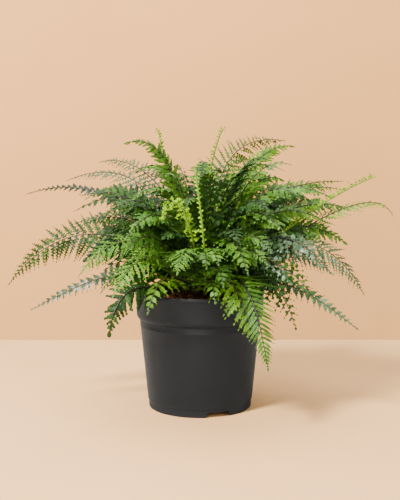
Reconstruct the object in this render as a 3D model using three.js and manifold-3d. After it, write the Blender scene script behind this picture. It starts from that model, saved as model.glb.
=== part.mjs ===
// A potted fern: a banded nursery pot, the growing mix that fills it, the scaly crown of the
// fern in the mix, and every frond that grows from the crown. Millimetres, +Z up, with the
// origin on the ground at the middle of the pot. The front of the pot faces -Y.

import * as THREE from "three";
import { mergeVertices } from "three/addons/utils/BufferGeometryUtils.js";
import Module from "manifold-3d";

const wasm = await Module();
wasm.setup();

// ---- driving dimensions -------------------------------------------------------------------

const POT_HEIGHT = 172;
const LIP_RADIUS = 95; // over the rolled lip, the widest part of the pot
const LIP_HEIGHT = 6;
const BAND_RADIUS = 93.6; // the deep collar under the lip
const BAND_BOTTOM = 130.5; // where the collar steps in to the tapered body
const BODY_TOP_RADIUS = 89;
const BODY_BOTTOM_RADIUS = 77.6;
const FOOT_RADIUS = 75.9;
const FOOT_HEIGHT = 10;
const WALL = 2;
const FLOOR_LIFT = 8; // the floor stands this far off the ground, on the foot ring
const FLOOR_THICKNESS = 2.4;
const POT_SIDES = 36;

const NOTCH_COUNT = 3; // drainage gaps in the foot ring
const NOTCH_WIDTH = 31;
const NOTCH_FLARE = 3; // how much further each side of a notch stands out at the ground
const NOTCH_HEIGHT = 7.5;
const NOTCH_AZIMUTH = -70;
const DRAIN_RADIUS = 6;
const DRAIN_FROM_AXIS = 56;

const GAP = 0.3; // clearance between pieces that touch
const SOIL_EDGE = 160; // height of the mix at the wall
const SOIL_MIDDLE = 164;
const SOIL_BUMP = 1.6;
const CROWN_RADIUS = 47;
const CROWN_TOP = 173;
const CROWN_EDGE = 161;
const CROWN_BOTTOM = 146;
const CROWN_BUMP = 0.9;

const STEM_BASE = 1.7; // half the thickness of a stalk where it leaves the crown
const STEM_TIP = 0.75;
const ROOT_DEPTH = 11; // how deep the pointed foot of a stalk stands in the crown
const HOLE_CLEARANCE = 0.45;
const HOLE_SPARE_DEPTH = 2;

const BLADE_END = 0.97; // a frond's last pair of side leaves ends at this share of its length
const HOOK_LEAD = 3; // bare length before the hook of a young tip
const HOOK_RINGS = 5;
const HOOK_STEP = 44; // degrees that a young tip turns between two points of its hook

const PINNA_SPACING = 21.5; // from one pair of side leaves to the next
const PINNA_HALF_WIDTH = 8.6;
const PINNA_SWEEP = 16; // degrees that side leaves lean forward from the first pair to the last
const PINNA_RIB = 0.8; // half the thickness of a side leaf along its rib
const PINNA_DROOP = 0.16; // how far a side leaf sags, as a share of its length
const LOBES_BY_LENGTH = [70, 40, 10]; // a leaf longer than these has 3, 2 or 1 pairs of lobes
const NOTCH_SHARE = 0.48; // half width of a side leaf between two lobes, as a share of the lobes'
const CLEARANCE = 0.45; // kept round every leaf and stalk of another frond
const STALK_MARGIN = 0.2;
const PROBE_RINGS = 12; // sections of the plain solid that stands for a stalk's upper part
const FOLDS = [0, 14, -14, 28, -28, 42, -42, 54, -54]; // ways a crowded leaf bends clear
const SHORTENINGS = [1, 0.8, 0.6, 0.42];
const SMALLEST_PINNA = 4.5;

const MATURE = { bare: 0.27, lean: 73, sparse: 1 };
const YOUNG = { bare: 0.42, lean: 72, sparse: 0.85 };

// Each frond rises from the crown in the upright plane of its azimuth (0 right, 90 back,
// -90 front) and curves past the [radius, height] of its rise and its brow to that of its tip.
// `start` is how far from the axis it leaves the crown, and `half` the length of its widest
// side leaves. `roll` turns its face about its stalk, and `sway` moves its tip sideways.
const FRONDS = [
  ["left_long", 180, 34, [89, 276], [208, 288], [285, 176], 52, -48],
  ["left_low", 190, 41, [102, 226], [172, 186], [247, 148], 34, -10],
  ["left_hanging", 222, 41, [113, 203], [157, 189], [166, 122], 36],
  ["left_high", 165, 22, [70, 313], [184, 342], [280, 310], 44, 14],
  ["left_upper", 150, 20, [61, 376], [183, 353], [250, 330], 42, -16],
  ["left_back", 134, 26, [34, 366], [200, 372], [243, 360], 42, -20],
  ["left_middle", 173, 33, [76, 308], [131, 286], [190, 268], 50, -40],
  ["left_crest", 185, 9, [22, 350], [58, 408], [112, 385], 36, -20],
  ["right_crest", 50, 9, [20, 378], [90, 402], [222, 396], 48, 10],
  ["right_shoulder", 22, 18, [40, 325], [92, 392], [158, 384], 46, 20],
  ["right_high", 8, 26, [42, 330], [170, 332], [217, 331], 44, 30],
  ["right_far", -5, 34, [79, 218], [250, 352], [279, 281], 34, -10],
  ["right_broad", -16, 40, [56, 246], [176, 298], [240, 172], 50, 34],
  ["right_low", -27, 41, [113, 214], [169, 184], [241, 132], 26, 10],
  ["right_hanging", -62, 41, [100, 224], [152, 210], [188, 88], 46],
  ["right_dark", -40, 38, [85, 226], [142, 212], [170, 132], 42],
  ["right_middle", -33, 34, [78, 262], [150, 286], [210, 208], 48, 16],
  ["front_apron", -78, 41, [80, 224], [132, 226], [158, 122], 54, 0, 40],
  ["front_lobed", -117, 41, [80, 214], [128, 212], [153, 158], 44],
  ["front_middle", -98, 36, [76, 250], [140, 266], [206, 218], 54],
  ["front_feather", -127, 36, [78, 246], [140, 250], [190, 182], 54],
  ["front_left", -147, 34, [76, 262], [138, 276], [196, 204], 52],
  ["front_right", -70, 33, [66, 266], [124, 286], [180, 214], 50],
  ["inner_left", -124, 26, [54, 286], [108, 318], [172, 258], 48],
  ["inner_right", -52, 28, [62, 296], [120, 318], [184, 262], 48],
  ["inner_front", -100, 19, [30, 300], [64, 334], [112, 296], 46],
  ["west_shoulder", -157, 24, [52, 300], [108, 338], [190, 290], 48, -16],
  ["east_shoulder", -22, 22, [52, 306], [112, 350], [196, 310], 48, 20],
  ["top_left", -138, 12, [26, 318], [62, 350], [128, 306], 42],
  ["top_right", -34, 12, [26, 330], [66, 380], [140, 346], 42],
  ["top_front", -78, 10, [18, 322], [46, 366], [108, 338], 40],
  ["top_back", 138, 12, [22, 330], [62, 380], [138, 344], 40],
  ["back_high", 88, 16, [38, 330], [104, 380], [186, 352], 46],
  ["back_crest", 112, 20, [40, 320], [116, 372], [206, 330], 46],
  ["back_shoulder", 66, 22, [48, 310], [126, 352], [220, 306], 46],
  ["back_right", 28, 40, [88, 262], [172, 282], [242, 218], 48, 14],
  ["back_low_right", 58, 38, [82, 252], [160, 268], [222, 192], 48],
  ["back_low", 92, 38, [80, 258], [164, 276], [206, 196], 48],
  ["back_low_left", 122, 38, [82, 250], [160, 266], [222, 190], 48],
  ["back_left", 150, 38, [86, 258], [164, 280], [238, 220], 48, -14],
  ["back_hanging", 106, 41, [100, 222], [150, 206], [178, 120], 42],
].map(([place, azimuth, start, rise, brow, tip, half, roll = 0, sway = 0]) => {
  return { name: `frond_${place}`, azimuth, start, rise, brow, tip, half, roll, sway };
});

// A young frond ends in a hook of the radius `curl`.
const YOUNG_FRONDS = [
  ["shoot_left", 165, 14, [30, 250], [48, 330], [63, 404], 6, 5],
  ["shoot_right", 20, 8, [4, 260], [8, 345], [34, 408], 6, 6],
  ["shoot_far_right", -10, 30, [85, 220], [137, 287], [245, 337], 12, 4],
  ["young_frond_curled", -91, 36, [105, 250], [126, 340], [118, 292], 27, 9, -45],
  ["young_frond_upright", -84, 36, [125, 189], [114, 280], [105, 345], 13, 5, -17],
].map(([name, azimuth, start, rise, brow, tip, half, curl, sway = 0]) => {
  return { name, azimuth, start, rise, brow, tip, half, roll: 0, curl, sway };
});

// ---- helpers ------------------------------------------------------------------------------

const radians = THREE.MathUtils.degToRad;

function solidOf(geometry) {
  const bare = geometry.index ? geometry.toNonIndexed() : geometry.clone();
  bare.deleteAttribute("normal");
  bare.deleteAttribute("uv");
  const merged = mergeVertices(bare, 1e-3);
  return new wasm.Manifold(
    new wasm.Mesh({
      numProp: 3,
      vertProperties: new Float32Array(merged.attributes.position.array),
      triVerts: new Uint32Array(merged.index.array),
    }),
  );
}

function geometryOf(solid) {
  const mesh = solid.getMesh();
  const geometry = new THREE.BufferGeometry();
  geometry.setAttribute("position", new THREE.BufferAttribute(mesh.vertProperties, 3));
  geometry.setIndex(new THREE.BufferAttribute(mesh.triVerts, 1));
  geometry.computeVertexNormals();
  return geometry;
}

// A surface gathered point by point and closed by hand.
class Skin {
  constructor() {
    this.points = [];
    this.faces = [];
  }

  add(point) {
    this.points.push(point.x, point.y, point.z);
    return this.points.length / 3 - 1;
  }

  face(a, b, c, turned = false) {
    this.faces.push(a, turned ? c : b, turned ? b : c);
  }

  geometry() {
    const made = new THREE.BufferGeometry();
    made.setAttribute("position", new THREE.Float32BufferAttribute(this.points, 3));
    made.setIndex(this.faces);
    made.computeVertexNormals();
    return made;
  }
}

// A smooth bump that repeats round the axis, made of a few waves.
function bumpAt(azimuth, radius, size) {
  const coarse = Math.sin(3 * azimuth + radius * 0.11) * Math.cos(radius * 0.09 + 1.3);
  const fine = Math.sin(8 * azimuth - radius * 0.23) * Math.sin(radius * 0.31 + 0.7);
  const chips = Math.sin(13 * azimuth + 2.1) * Math.cos(radius * 0.47);
  return size * (0.45 * coarse + 0.35 * fine + 0.2 * chips);
}

// ---- pot ----------------------------------------------------------------------------------

function lathe(profile, sides = POT_SIDES) {
  const outline = profile.map(([radius, height]) => new THREE.Vector2(radius, height));
  return new THREE.LatheGeometry(outline, sides).rotateX(Math.PI / 2);
}

const floorTop = FLOOR_LIFT + FLOOR_THICKNESS;
const innerRimRadius = BAND_RADIUS - WALL;
const innerFloorRadius = BODY_BOTTOM_RADIUS - WALL;

// A tapered block across the foot ring, flared at the ground.
function notch(azimuth) {
  const half = NOTCH_WIDTH / 2;
  const outline = new THREE.Shape([
    new THREE.Vector2(-half - NOTCH_FLARE, -1),
    new THREE.Vector2(half + NOTCH_FLARE, -1),
    new THREE.Vector2(half, NOTCH_HEIGHT),
    new THREE.Vector2(-half, NOTCH_HEIGHT),
  ]);
  const block = new THREE.ExtrudeGeometry(outline, { depth: 30, bevelEnabled: false });
  block.rotateX(Math.PI / 2).translate(0, -(FOOT_RADIUS - 20), 0);
  block.rotateZ(radians(azimuth + 90));
  return solidOf(block);
}

function drainHole(azimuth) {
  const plug = new THREE.CylinderGeometry(DRAIN_RADIUS, DRAIN_RADIUS, 12, 8);
  plug.rotateX(Math.PI / 2).translate(DRAIN_FROM_AXIS, 0, floorTop);
  return solidOf(plug.rotateZ(radians(azimuth)));
}

function makePot() {
  const profile = [
    [0, FLOOR_LIFT],
    [FOOT_RADIUS - WALL - 3, FLOOR_LIFT],
    [FOOT_RADIUS - WALL - 2, 0],
    [FOOT_RADIUS, 0],
    [FOOT_RADIUS + 0.4, FOOT_HEIGHT],
    [BODY_BOTTOM_RADIUS, FOOT_HEIGHT + 3],
    [BODY_TOP_RADIUS, BAND_BOTTOM],
    [BAND_RADIUS - 1.2, BAND_BOTTOM + 3.5],
    [BAND_RADIUS, BAND_BOTTOM + 9],
    [BAND_RADIUS + 0.3, POT_HEIGHT - LIP_HEIGHT],
    [LIP_RADIUS, POT_HEIGHT - LIP_HEIGHT + 1],
    [LIP_RADIUS, POT_HEIGHT - 1],
    [LIP_RADIUS - 1.2, POT_HEIGHT],
    [innerRimRadius - 0.6, POT_HEIGHT],
    [innerFloorRadius, floorTop],
    [0, floorTop],
  ];
  let pot = solidOf(lathe(profile));
  for (let i = 0; i < NOTCH_COUNT; i += 1) {
    const azimuth = NOTCH_AZIMUTH + (360 / NOTCH_COUNT) * i;
    pot = pot.subtract(notch(azimuth)).subtract(drainHole(azimuth));
  }
  return pot;
}

// ---- growing mix and crown ----------------------------------------------------------------

// A round mound whose rings follow `heightAt`, closed below at `bottom` and `bottomRadius`.
function mound({ rings, sides, heightAt, bottom, bottomRadius, bump }) {
  const skin = new Skin();
  const top = skin.add(new THREE.Vector3(0, 0, heightAt(0)));
  const rows = rings.map((radius, index) => {
    const isEdge = index === rings.length - 1;
    return Array.from({ length: sides }, (_, i) => {
      const azimuth = (i / sides) * 2 * Math.PI;
      const height = heightAt(radius) + (isEdge ? 0 : bumpAt(azimuth, radius, bump));
      return skin.add(new THREE.Vector3(radius * Math.cos(azimuth), radius * Math.sin(azimuth), height));
    });
  });
  const base = skin.add(new THREE.Vector3(0, 0, bottom));
  rows.push(
    Array.from({ length: sides }, (_, i) => {
      const azimuth = (i / sides) * 2 * Math.PI;
      return skin.add(
        new THREE.Vector3(bottomRadius * Math.cos(azimuth), bottomRadius * Math.sin(azimuth), bottom),
      );
    }),
  );
  for (let i = 0; i < sides; i += 1) {
    const next = (i + 1) % sides;
    skin.face(top, rows[0][i], rows[0][next]);
    for (let k = 1; k < rows.length; k += 1) {
      skin.face(rows[k - 1][i], rows[k][i], rows[k][next]);
      skin.face(rows[k - 1][i], rows[k][next], rows[k - 1][next]);
    }
    skin.face(base, rows.at(-1)[next], rows.at(-1)[i]);
  }
  return solidOf(skin.geometry());
}

function innerWallRadius(height) {
  const share = (height - floorTop) / (POT_HEIGHT - floorTop);
  return THREE.MathUtils.lerp(innerFloorRadius, innerRimRadius - 0.6, share);
}

// The pot's walls have flat sides, so the mix stays inside the circle that fits between them.
const flatSideShare = Math.cos(Math.PI / POT_SIDES);

function makeSoil() {
  const edge = innerWallRadius(SOIL_EDGE) * flatSideShare - GAP;
  return mound({
    rings: [26, 50, 62, 76, edge],
    sides: 30,
    heightAt: (radius) => THREE.MathUtils.lerp(SOIL_MIDDLE, SOIL_EDGE, radius / edge),
    bottom: floorTop + GAP,
    bottomRadius: innerFloorRadius * flatSideShare - GAP,
    bump: SOIL_BUMP,
  });
}

function crownHeight(radius) {
  return CROWN_TOP - (CROWN_TOP - CROWN_EDGE) * (radius / CROWN_RADIUS) ** 2;
}

function makeCrown(margin = 0) {
  return mound({
    rings: [24, CROWN_RADIUS + 2 * margin],
    sides: 14,
    heightAt: (radius) => crownHeight(Math.min(radius, CROWN_RADIUS)) + margin,
    bottom: CROWN_BOTTOM - margin,
    bottomRadius: CROWN_RADIUS * 0.7 + margin,
    bump: CROWN_BUMP,
  });
}

// ---- fronds -------------------------------------------------------------------------------

// The line that a frond's stalk follows, with the way its face looks at each point of it.
class Stalk {
  constructor(frond) {
    const azimuth = radians(frond.azimuth);
    this.outward = new THREE.Vector3(Math.cos(azimuth), Math.sin(azimuth), 0);
    this.sideways = new THREE.Vector3(-Math.sin(azimuth), Math.cos(azimuth), 0);
    this.roll = radians(frond.roll);
    const arch = new THREE.CubicBezierCurve3(
      this.point([frond.start, crownHeight(frond.start)], 0),
      this.point(frond.rise, 0),
      this.point(frond.brow, frond.sway * 0.5),
      this.point(frond.tip, frond.sway),
    );
    this.curve = frond.curl ? this.hooked(arch, frond.curl) : arch;
    this.length = this.curve.getLength();
    this.hookStart = frond.curl ? arch.getLength() / this.length : 1;
    this.bladeEnd = frond.curl ? this.hookStart - HOOK_LEAD / this.length : BLADE_END;
  }

  // The same line with its tip rolled in to a small hook, on round the way that it arches.
  hooked(arch, radius) {
    const end = arch.getPoint(1);
    const ahead = arch.getTangent(1);
    const inward = this.sideways.clone().cross(ahead).normalize();
    const centre = end.clone().addScaledVector(inward, radius);
    const hook = [1, 2, 3, 4, 5].map((step) => {
      const angle = radians(HOOK_STEP * step);
      const reach = radius * (1 - 0.08 * step);
      return centre
        .clone()
        .addScaledVector(inward, -reach * Math.cos(angle))
        .addScaledVector(ahead, reach * Math.sin(angle));
    });
    return new THREE.CatmullRomCurve3([...arch.getPoints(8), ...hook]);
  }

  point([radius, height], aside) {
    const at = this.outward.clone().multiplyScalar(radius);
    return at.addScaledVector(this.sideways, aside).setZ(height);
  }

  // Where the stalk is at `share` of its length, and its forward, left and upward directions.
  // A share below 0 lies in the crown, straight back from the start.
  at(share) {
    const inCurve = THREE.MathUtils.clamp(share, 0, 1);
    const forward = this.curve.getTangentAt(inCurve);
    const centre = this.curve.getPointAt(inCurve);
    centre.addScaledVector(forward, (share - inCurve) * this.length);
    const left = this.sideways.clone().addScaledVector(forward, -this.sideways.dot(forward)).normalize();
    left.applyAxisAngle(forward, this.roll * inCurve);
    const up = forward.clone().cross(left);
    return { centre, forward, left, up, half: THREE.MathUtils.lerp(STEM_BASE, STEM_TIP, inCurve) };
  }
}

// The four corners of a stalk's section, in the order up, left, down, right.
function sectionAt({ centre, left, up, half }, margin = 0) {
  const reach = half + margin;
  return [
    centre.clone().addScaledVector(up, reach),
    centre.clone().addScaledVector(left, reach),
    centre.clone().addScaledVector(up, -reach),
    centre.clone().addScaledVector(left, -reach),
  ];
}

// Grows a skin from the ring of corners `ring` through the stalk's section at each share.
function addSections(skin, ring, stalk, shares, margin = 0) {
  return shares.reduce((before, share) => {
    const after = sectionAt(stalk.at(share), margin).map((corner) => skin.add(corner));
    after.forEach((corner, i) => {
      const next = (i + 1) % after.length;
      skin.face(before[i], corner, after[next]);
      skin.face(before[i], after[next], before[next]);
    });
    return after;
  }, ring);
}

// A stalk from its pointed foot, `depth` down in the crown, through its section at each share.
function addStem(skin, stalk, [first, ...shares], margin = 0, depth = ROOT_DEPTH) {
  const foot = skin.add(stalk.at(-depth / stalk.length).centre);
  const ring = sectionAt(stalk.at(first), margin).map((corner) => skin.add(corner));
  ring.forEach((corner, i) => skin.face(foot, corner, ring[(i + 1) % ring.length]));
  return addSections(skin, ring, stalk, shares, margin);
}

// A plain solid round the stalk with `margin` to spare, up to the last of its shares.
function stalkProbe(stalk, margin, shares, depth) {
  const skin = new Skin();
  const last = addStem(skin, stalk, shares, margin, depth);
  skin.face(last[0], last[2], last[1]);
  skin.face(last[0], last[3], last[2]);
  return solidOf(skin.geometry());
}

// How long the side leaves are along the blade, as a share of the widest ones.
function bladeWidth(share) {
  const widest = 0.24;
  if (share < widest) return 0.78 + 0.22 * (share / widest);
  return ((1 - share) / (1 - widest)) ** 0.68;
}

// A side leaf, called a pinna: where it leaves the stalk, its direction, and its own face.
class Pinna {
  constructor(station, side, length, lean, fold) {
    const bend = radians(fold);
    const angle = radians(lean);
    const outward = station.left.clone().multiplyScalar(side * Math.cos(bend));
    outward.addScaledVector(station.up, Math.sin(bend));
    this.up = station.up.clone().multiplyScalar(Math.cos(bend));
    this.up.addScaledVector(station.left, -side * Math.sin(bend));
    this.root = station.centre;
    this.along = station.forward.clone().multiplyScalar(Math.cos(angle));
    this.along.addScaledVector(outward, Math.sin(angle));
    this.ahead = station.forward.clone().multiplyScalar(Math.sin(angle));
    this.ahead.addScaledVector(outward, -Math.cos(angle));
    this.side = side;
    this.length = length;
    this.lobes = LOBES_BY_LENGTH.filter((limit) => length > limit).length;
  }

  // A point `share` of the way along the pinna, `aside` of its rib and `above` its face.
  place(share, aside, above) {
    const sag = PINNA_DROOP * this.length * share * share;
    return this.root
      .clone()
      .addScaledVector(this.along, share * this.length)
      .addScaledVector(this.ahead, aside)
      .addScaledVector(this.up, above - sag);
  }

  halfWidth(share) {
    return Math.min(PINNA_HALF_WIDTH, this.length * 0.3) * (1 - 0.45 * share);
  }

  // The edge on one side of the rib, lobe by lobe: the tip of each and the notch after it.
  edge(direction) {
    const step = 1 / (this.lobes + 0.8);
    return Array.from({ length: this.lobes }, (_, i) => {
      const width = this.halfWidth(i * step) * direction;
      return {
        tip: this.place((i + 0.62) * step, width, 0),
        notch: this.place((i + 0.84) * step, width * NOTCH_SHARE, 0),
        rib: (i + 1) * step,
      };
    });
  }

  // A plain solid that holds the whole pinna with `margin` round it.
  probe(margin) {
    const skin = new Skin();
    const thick = PINNA_RIB * 0.6 + margin;
    const outline = [
      [0, this.halfWidth(0) * 1.2 + margin],
      [0.4, this.halfWidth(0) + margin],
      [0.85, this.halfWidth(0) * 0.6 + margin],
    ];
    const layer = (above) => {
      const pairs = outline.map(([share, aside]) => [
        skin.add(this.place(share, -aside, above)),
        skin.add(this.place(share, aside, above)),
      ]);
      return { pairs, end: skin.add(this.place(1 + margin / this.length, 0, above)) };
    };
    const top = layer(thick);
    const low = layer(-thick);
    const turned = this.side < 0;
    [top, low].forEach(({ pairs, end }, index) => {
      const flip = turned !== (index === 1);
      for (let k = 1; k < pairs.length; k += 1) {
        skin.face(pairs[k - 1][0], pairs[k - 1][1], pairs[k][1], flip);
        skin.face(pairs[k - 1][0], pairs[k][1], pairs[k][0], flip);
      }
      skin.face(pairs.at(-1)[0], pairs.at(-1)[1], end, flip);
    });
    const rim = ({ pairs, end }) => [...pairs.map((p) => p[0]), end, ...pairs.map((p) => p[1]).reverse()];
    const upper = rim(top);
    const lower = rim(low);
    upper.forEach((corner, i) => {
      const next = (i + 1) % upper.length;
      skin.face(corner, upper[next], lower[next], turned);
      skin.face(corner, lower[next], lower[i], turned);
    });
    return solidOf(skin.geometry());
  }
}

function touches(a, b) {
  const one = a.box;
  const two = b.box;
  const apart = [0, 1, 2].some((i) => one.max[i] < two.min[i] || two.max[i] < one.min[i]);
  return !apart && !a.solid.intersect(b.solid).isEmpty();
}

function obstacle(solid, owner) {
  return { solid, owner, box: solid.boundingBox() };
}

// Where the pairs of side leaves stand on a frond, as shares of its length.
function pairShares(frond, habit, stalk) {
  const blade = stalk.bladeEnd - habit.bare;
  const count = Math.round((blade * stalk.length) / (PINNA_SPACING * habit.sparse));
  const step = blade / count;
  return Array.from({ length: count }, (_, i) => ({
    start: habit.bare + i * step,
    middle: habit.bare + (i + 0.5) * step,
    length: Math.max(SMALLEST_PINNA, frond.half * bladeWidth((i + 0.5) / count)),
    lean: habit.lean - PINNA_SWEEP * ((i + 0.5) / count),
  }));
}

// Grows one side leaf clear of everything that stands already: it folds up or down about the
// stalk until it is clear, and stays shorter only where no fold is.
function growClear(frond, station, side, pair, standing) {
  for (const shortening of SHORTENINGS) {
    for (const fold of FOLDS) {
      const pinna = new Pinna(station, side, pair.length * shortening, pair.lean, fold);
      const probe = obstacle(pinna.probe(CLEARANCE), frond.name);
      if (!standing.some((other) => other.owner !== frond.name && touches(probe, other))) {
        standing.push(obstacle(pinna.probe(0), frond.name));
        return pinna;
      }
    }
  }
  return new Pinna(station, side, SMALLEST_PINNA, pair.lean, 0);
}

// Zips the rib of a pinna to one of its edges: three faces a lobe and one at the tip.
function zip(skin, ribs, rim, end, turned) {
  for (let j = 1; j < ribs.length; j += 1) {
    const [before, tip, after] = rim.slice(2 * j - 2, 2 * j + 1);
    skin.face(ribs[j - 1], before, tip, turned);
    skin.face(ribs[j - 1], tip, after, turned);
    skin.face(ribs[j - 1], after, ribs[j], turned);
  }
  skin.face(ribs.at(-1), rim.at(-1), end, turned);
}

function addPinna(skin, pinna, ridge, behind, before) {
  const rear = pinna.edge(-1);
  const fore = pinna.edge(1);
  const end = skin.add(pinna.place(1, 0, 0));
  const ribsAt = (sign) =>
    fore.map(({ rib }) => skin.add(pinna.place(rib, 0, sign * PINNA_RIB * (1 - 0.55 * rib))));
  const ribs = { top: [ridge.top, ...ribsAt(1)], low: [ridge.low, ...ribsAt(-1)] };
  const rims = {
    rear: [behind, ...rear.flatMap(({ tip, notch }) => [skin.add(tip), skin.add(notch)])],
    fore: [before, ...fore.flatMap(({ tip, notch }) => [skin.add(tip), skin.add(notch)])],
  };
  const mirrored = pinna.side < 0;
  zip(skin, ribs.top, rims.fore, end, mirrored);
  zip(skin, ribs.top, rims.rear, end, !mirrored);
  zip(skin, ribs.low, rims.fore, end, !mirrored);
  zip(skin, ribs.low, rims.rear, end, mirrored);
}

// One closed surface for the stalk, all its side leaves and the leaf at its tip.
function frondSkin(stalk, habit, pairs, pinnae) {
  const skin = new Skin();
  let [top, left, low, right] = addStem(skin, stalk, [0, habit.bare / 2, habit.bare]);
  pairs.forEach((pair, i) => {
    const middle = sectionAt(stalk.at(pair.middle));
    const ridge = { top: skin.add(middle[0]), low: skin.add(middle[2]) };
    const following = sectionAt(stalk.at(pairs[i + 1]?.start ?? stalk.bladeEnd));
    const nextLeft = skin.add(following[1]);
    const nextRight = skin.add(following[3]);
    skin.face(top, ridge.top, left);
    skin.face(top, right, ridge.top);
    skin.face(low, left, ridge.low);
    skin.face(low, ridge.low, right);
    addPinna(skin, pinnae[i].left, ridge, left, nextLeft);
    addPinna(skin, pinnae[i].right, ridge, right, nextRight);
    [top, low, left, right] = [ridge.top, ridge.low, nextLeft, nextRight];
  });
  if (stalk.hookStart < 1) {
    const shares = Array.from({ length: HOOK_RINGS }, (_, i) =>
      THREE.MathUtils.lerp(stalk.hookStart, 1, i / HOOK_RINGS),
    );
    [top, left, low, right] = addSections(skin, [top, left, low, right], stalk, shares);
  }
  const end = skin.add(stalk.at(1).centre);
  skin.face(top, end, left);
  skin.face(top, right, end);
  skin.face(low, left, end);
  skin.face(low, end, right);
  return skin.geometry();
}

// ---- assembly -----------------------------------------------------------------------------

const POT_MATERIAL = new THREE.MeshStandardMaterial({ color: 0x2f2f30, roughness: 0.6, metalness: 0 });
const SOIL_MATERIAL = new THREE.MeshStandardMaterial({ color: 0x3a2016, roughness: 1, metalness: 0 });
const CROWN_MATERIAL = new THREE.MeshStandardMaterial({ color: 0x4a2f1c, roughness: 0.9, metalness: 0 });
const FROND_MATERIAL = new THREE.MeshStandardMaterial({ color: 0x3c6b22, roughness: 0.45, metalness: 0 });
const YOUNG_MATERIAL = new THREE.MeshStandardMaterial({ color: 0x8fb82f, roughness: 0.5, metalness: 0 });

const plant = new THREE.Group();

function addMesh(name, geometry, material) {
  const mesh = new THREE.Mesh(geometry, material);
  mesh.name = name;
  plant.add(mesh);
}

const grown = [
  ...FRONDS.map((frond) => ({ frond, habit: MATURE, material: FROND_MATERIAL })),
  ...YOUNG_FRONDS.map((frond) => ({ frond, habit: YOUNG, material: YOUNG_MATERIAL })),
].map((growth) => ({ ...growth, stalk: new Stalk(growth.frond) }));

const pot = makePot();
let crown = makeCrown();
const soil = makeSoil().subtract(makeCrown(GAP));
grown.forEach(({ stalk }) => {
  const hole = stalkProbe(stalk, HOLE_CLEARANCE, [0, 0.12], ROOT_DEPTH + HOLE_SPARE_DEPTH);
  crown = crown.subtract(hole);
});

// Every stalk stands before the first leaf grows, so that leaves keep clear of all stalks.
const standing = [
  obstacle(pot, "pot"),
  obstacle(soil, "soil"),
  obstacle(crown, "crown"),
  ...grown.map(({ frond, habit, stalk }) => {
    const blade = Array.from({ length: PROBE_RINGS }, (_, i) =>
      THREE.MathUtils.lerp(habit.bare, 1, i / (PROBE_RINGS - 1)),
    );
    return obstacle(stalkProbe(stalk, STALK_MARGIN, [0, habit.bare / 2, ...blade]), frond.name);
  }),
];

addMesh("pot", geometryOf(pot), POT_MATERIAL);
addMesh("growing_mix", geometryOf(soil), SOIL_MATERIAL);
addMesh("crown", geometryOf(crown), CROWN_MATERIAL);

grown.forEach(({ frond, habit, material, stalk }) => {
  const pairs = pairShares(frond, habit, stalk);
  const pinnae = pairs.map((pair) => {
    const station = stalk.at(pair.middle);
    return {
      left: growClear(frond, station, 1, pair, standing),
      right: growClear(frond, station, -1, pair, standing),
    };
  });
  addMesh(frond.name, frondSkin(stalk, habit, pairs, pinnae), material);
});

export default plant;
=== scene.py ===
"""A potted fern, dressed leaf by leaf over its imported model. Metres, +Z up, the front faces -Y."""

import logging
import math
from collections.abc import Callable, Sequence
from dataclasses import dataclass, field, replace
from enum import Enum
from functools import cache

import bmesh
import bpy
import numpy as np
from bpy.types import Material, Mesh, Modifier, Node, NodeSocket, NodeTree, Object
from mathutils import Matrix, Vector


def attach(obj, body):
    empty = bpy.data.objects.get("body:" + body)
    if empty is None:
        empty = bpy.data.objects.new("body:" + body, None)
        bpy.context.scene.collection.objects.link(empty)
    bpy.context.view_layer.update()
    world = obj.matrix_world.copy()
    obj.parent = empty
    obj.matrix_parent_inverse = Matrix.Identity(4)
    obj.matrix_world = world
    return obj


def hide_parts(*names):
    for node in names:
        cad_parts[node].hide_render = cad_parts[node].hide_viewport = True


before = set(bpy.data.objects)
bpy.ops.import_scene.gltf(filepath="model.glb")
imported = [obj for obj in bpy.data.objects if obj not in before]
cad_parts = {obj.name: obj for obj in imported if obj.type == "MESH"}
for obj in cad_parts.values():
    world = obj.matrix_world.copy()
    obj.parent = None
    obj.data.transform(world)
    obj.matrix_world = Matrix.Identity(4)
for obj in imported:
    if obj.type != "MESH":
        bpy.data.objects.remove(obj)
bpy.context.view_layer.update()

log = logging.getLogger("fern")

Colour = tuple[float, float, float]
Place = tuple[float, float, float]
Random = np.random.Generator
RowPoint = tuple[float, float]
Value = float | Colour | NodeSocket

MM = 0.001
UP = np.array((0.0, 0.0, 1.0))
NEAR = 1e-3  # a vertex this near to a place is taken to be at it
STRAIGHT = 1e-3  # the least bend that is reckoned as an arc, in radians
TINT = "tint"
UNDERSIDE = "underside"
LEAF_MAP = "leaf"


# ---- modelling by hand ----


def deselect() -> None:
    """Leaves nothing selected, so that the next operator touches only its own piece."""
    bpy.ops.object.select_all(action="DESELECT")


def pick(obj: Object) -> None:
    """Makes an object the only selected one and the active one.

    Args:
        obj: the object.
    """
    deselect()
    obj.select_set(True)
    bpy.context.view_layer.objects.active = obj


def editing(obj: Object, select: str = "VERT") -> None:
    """Opens an object in edit mode.

    Args:
        obj: the object.
        select: what is selected by: VERT, EDGE or FACE.
    """
    pick(obj)
    bpy.ops.object.mode_set(mode="EDIT")
    bpy.ops.mesh.select_mode(type=select)


def done_editing() -> None:
    """Goes back to object mode."""
    bpy.ops.object.mode_set(mode="OBJECT")


def choose(obj: Object, wanted: Callable[[Vector], bool]) -> None:
    """Selects the vertices of obj, open in edit mode, whose place is wanted.

    Args:
        obj: the object that is open in edit mode.
        wanted: says for a vertex's place whether it is to be selected.
    """
    cage = bmesh.from_edit_mesh(obj.data)
    for vertex in cage.verts:
        vertex.select_set(False)
    for vertex in cage.verts:
        if wanted(vertex.co):
            vertex.select_set(True)
    cage.select_flush(True)
    bmesh.update_edit_mesh(obj.data)


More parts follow.
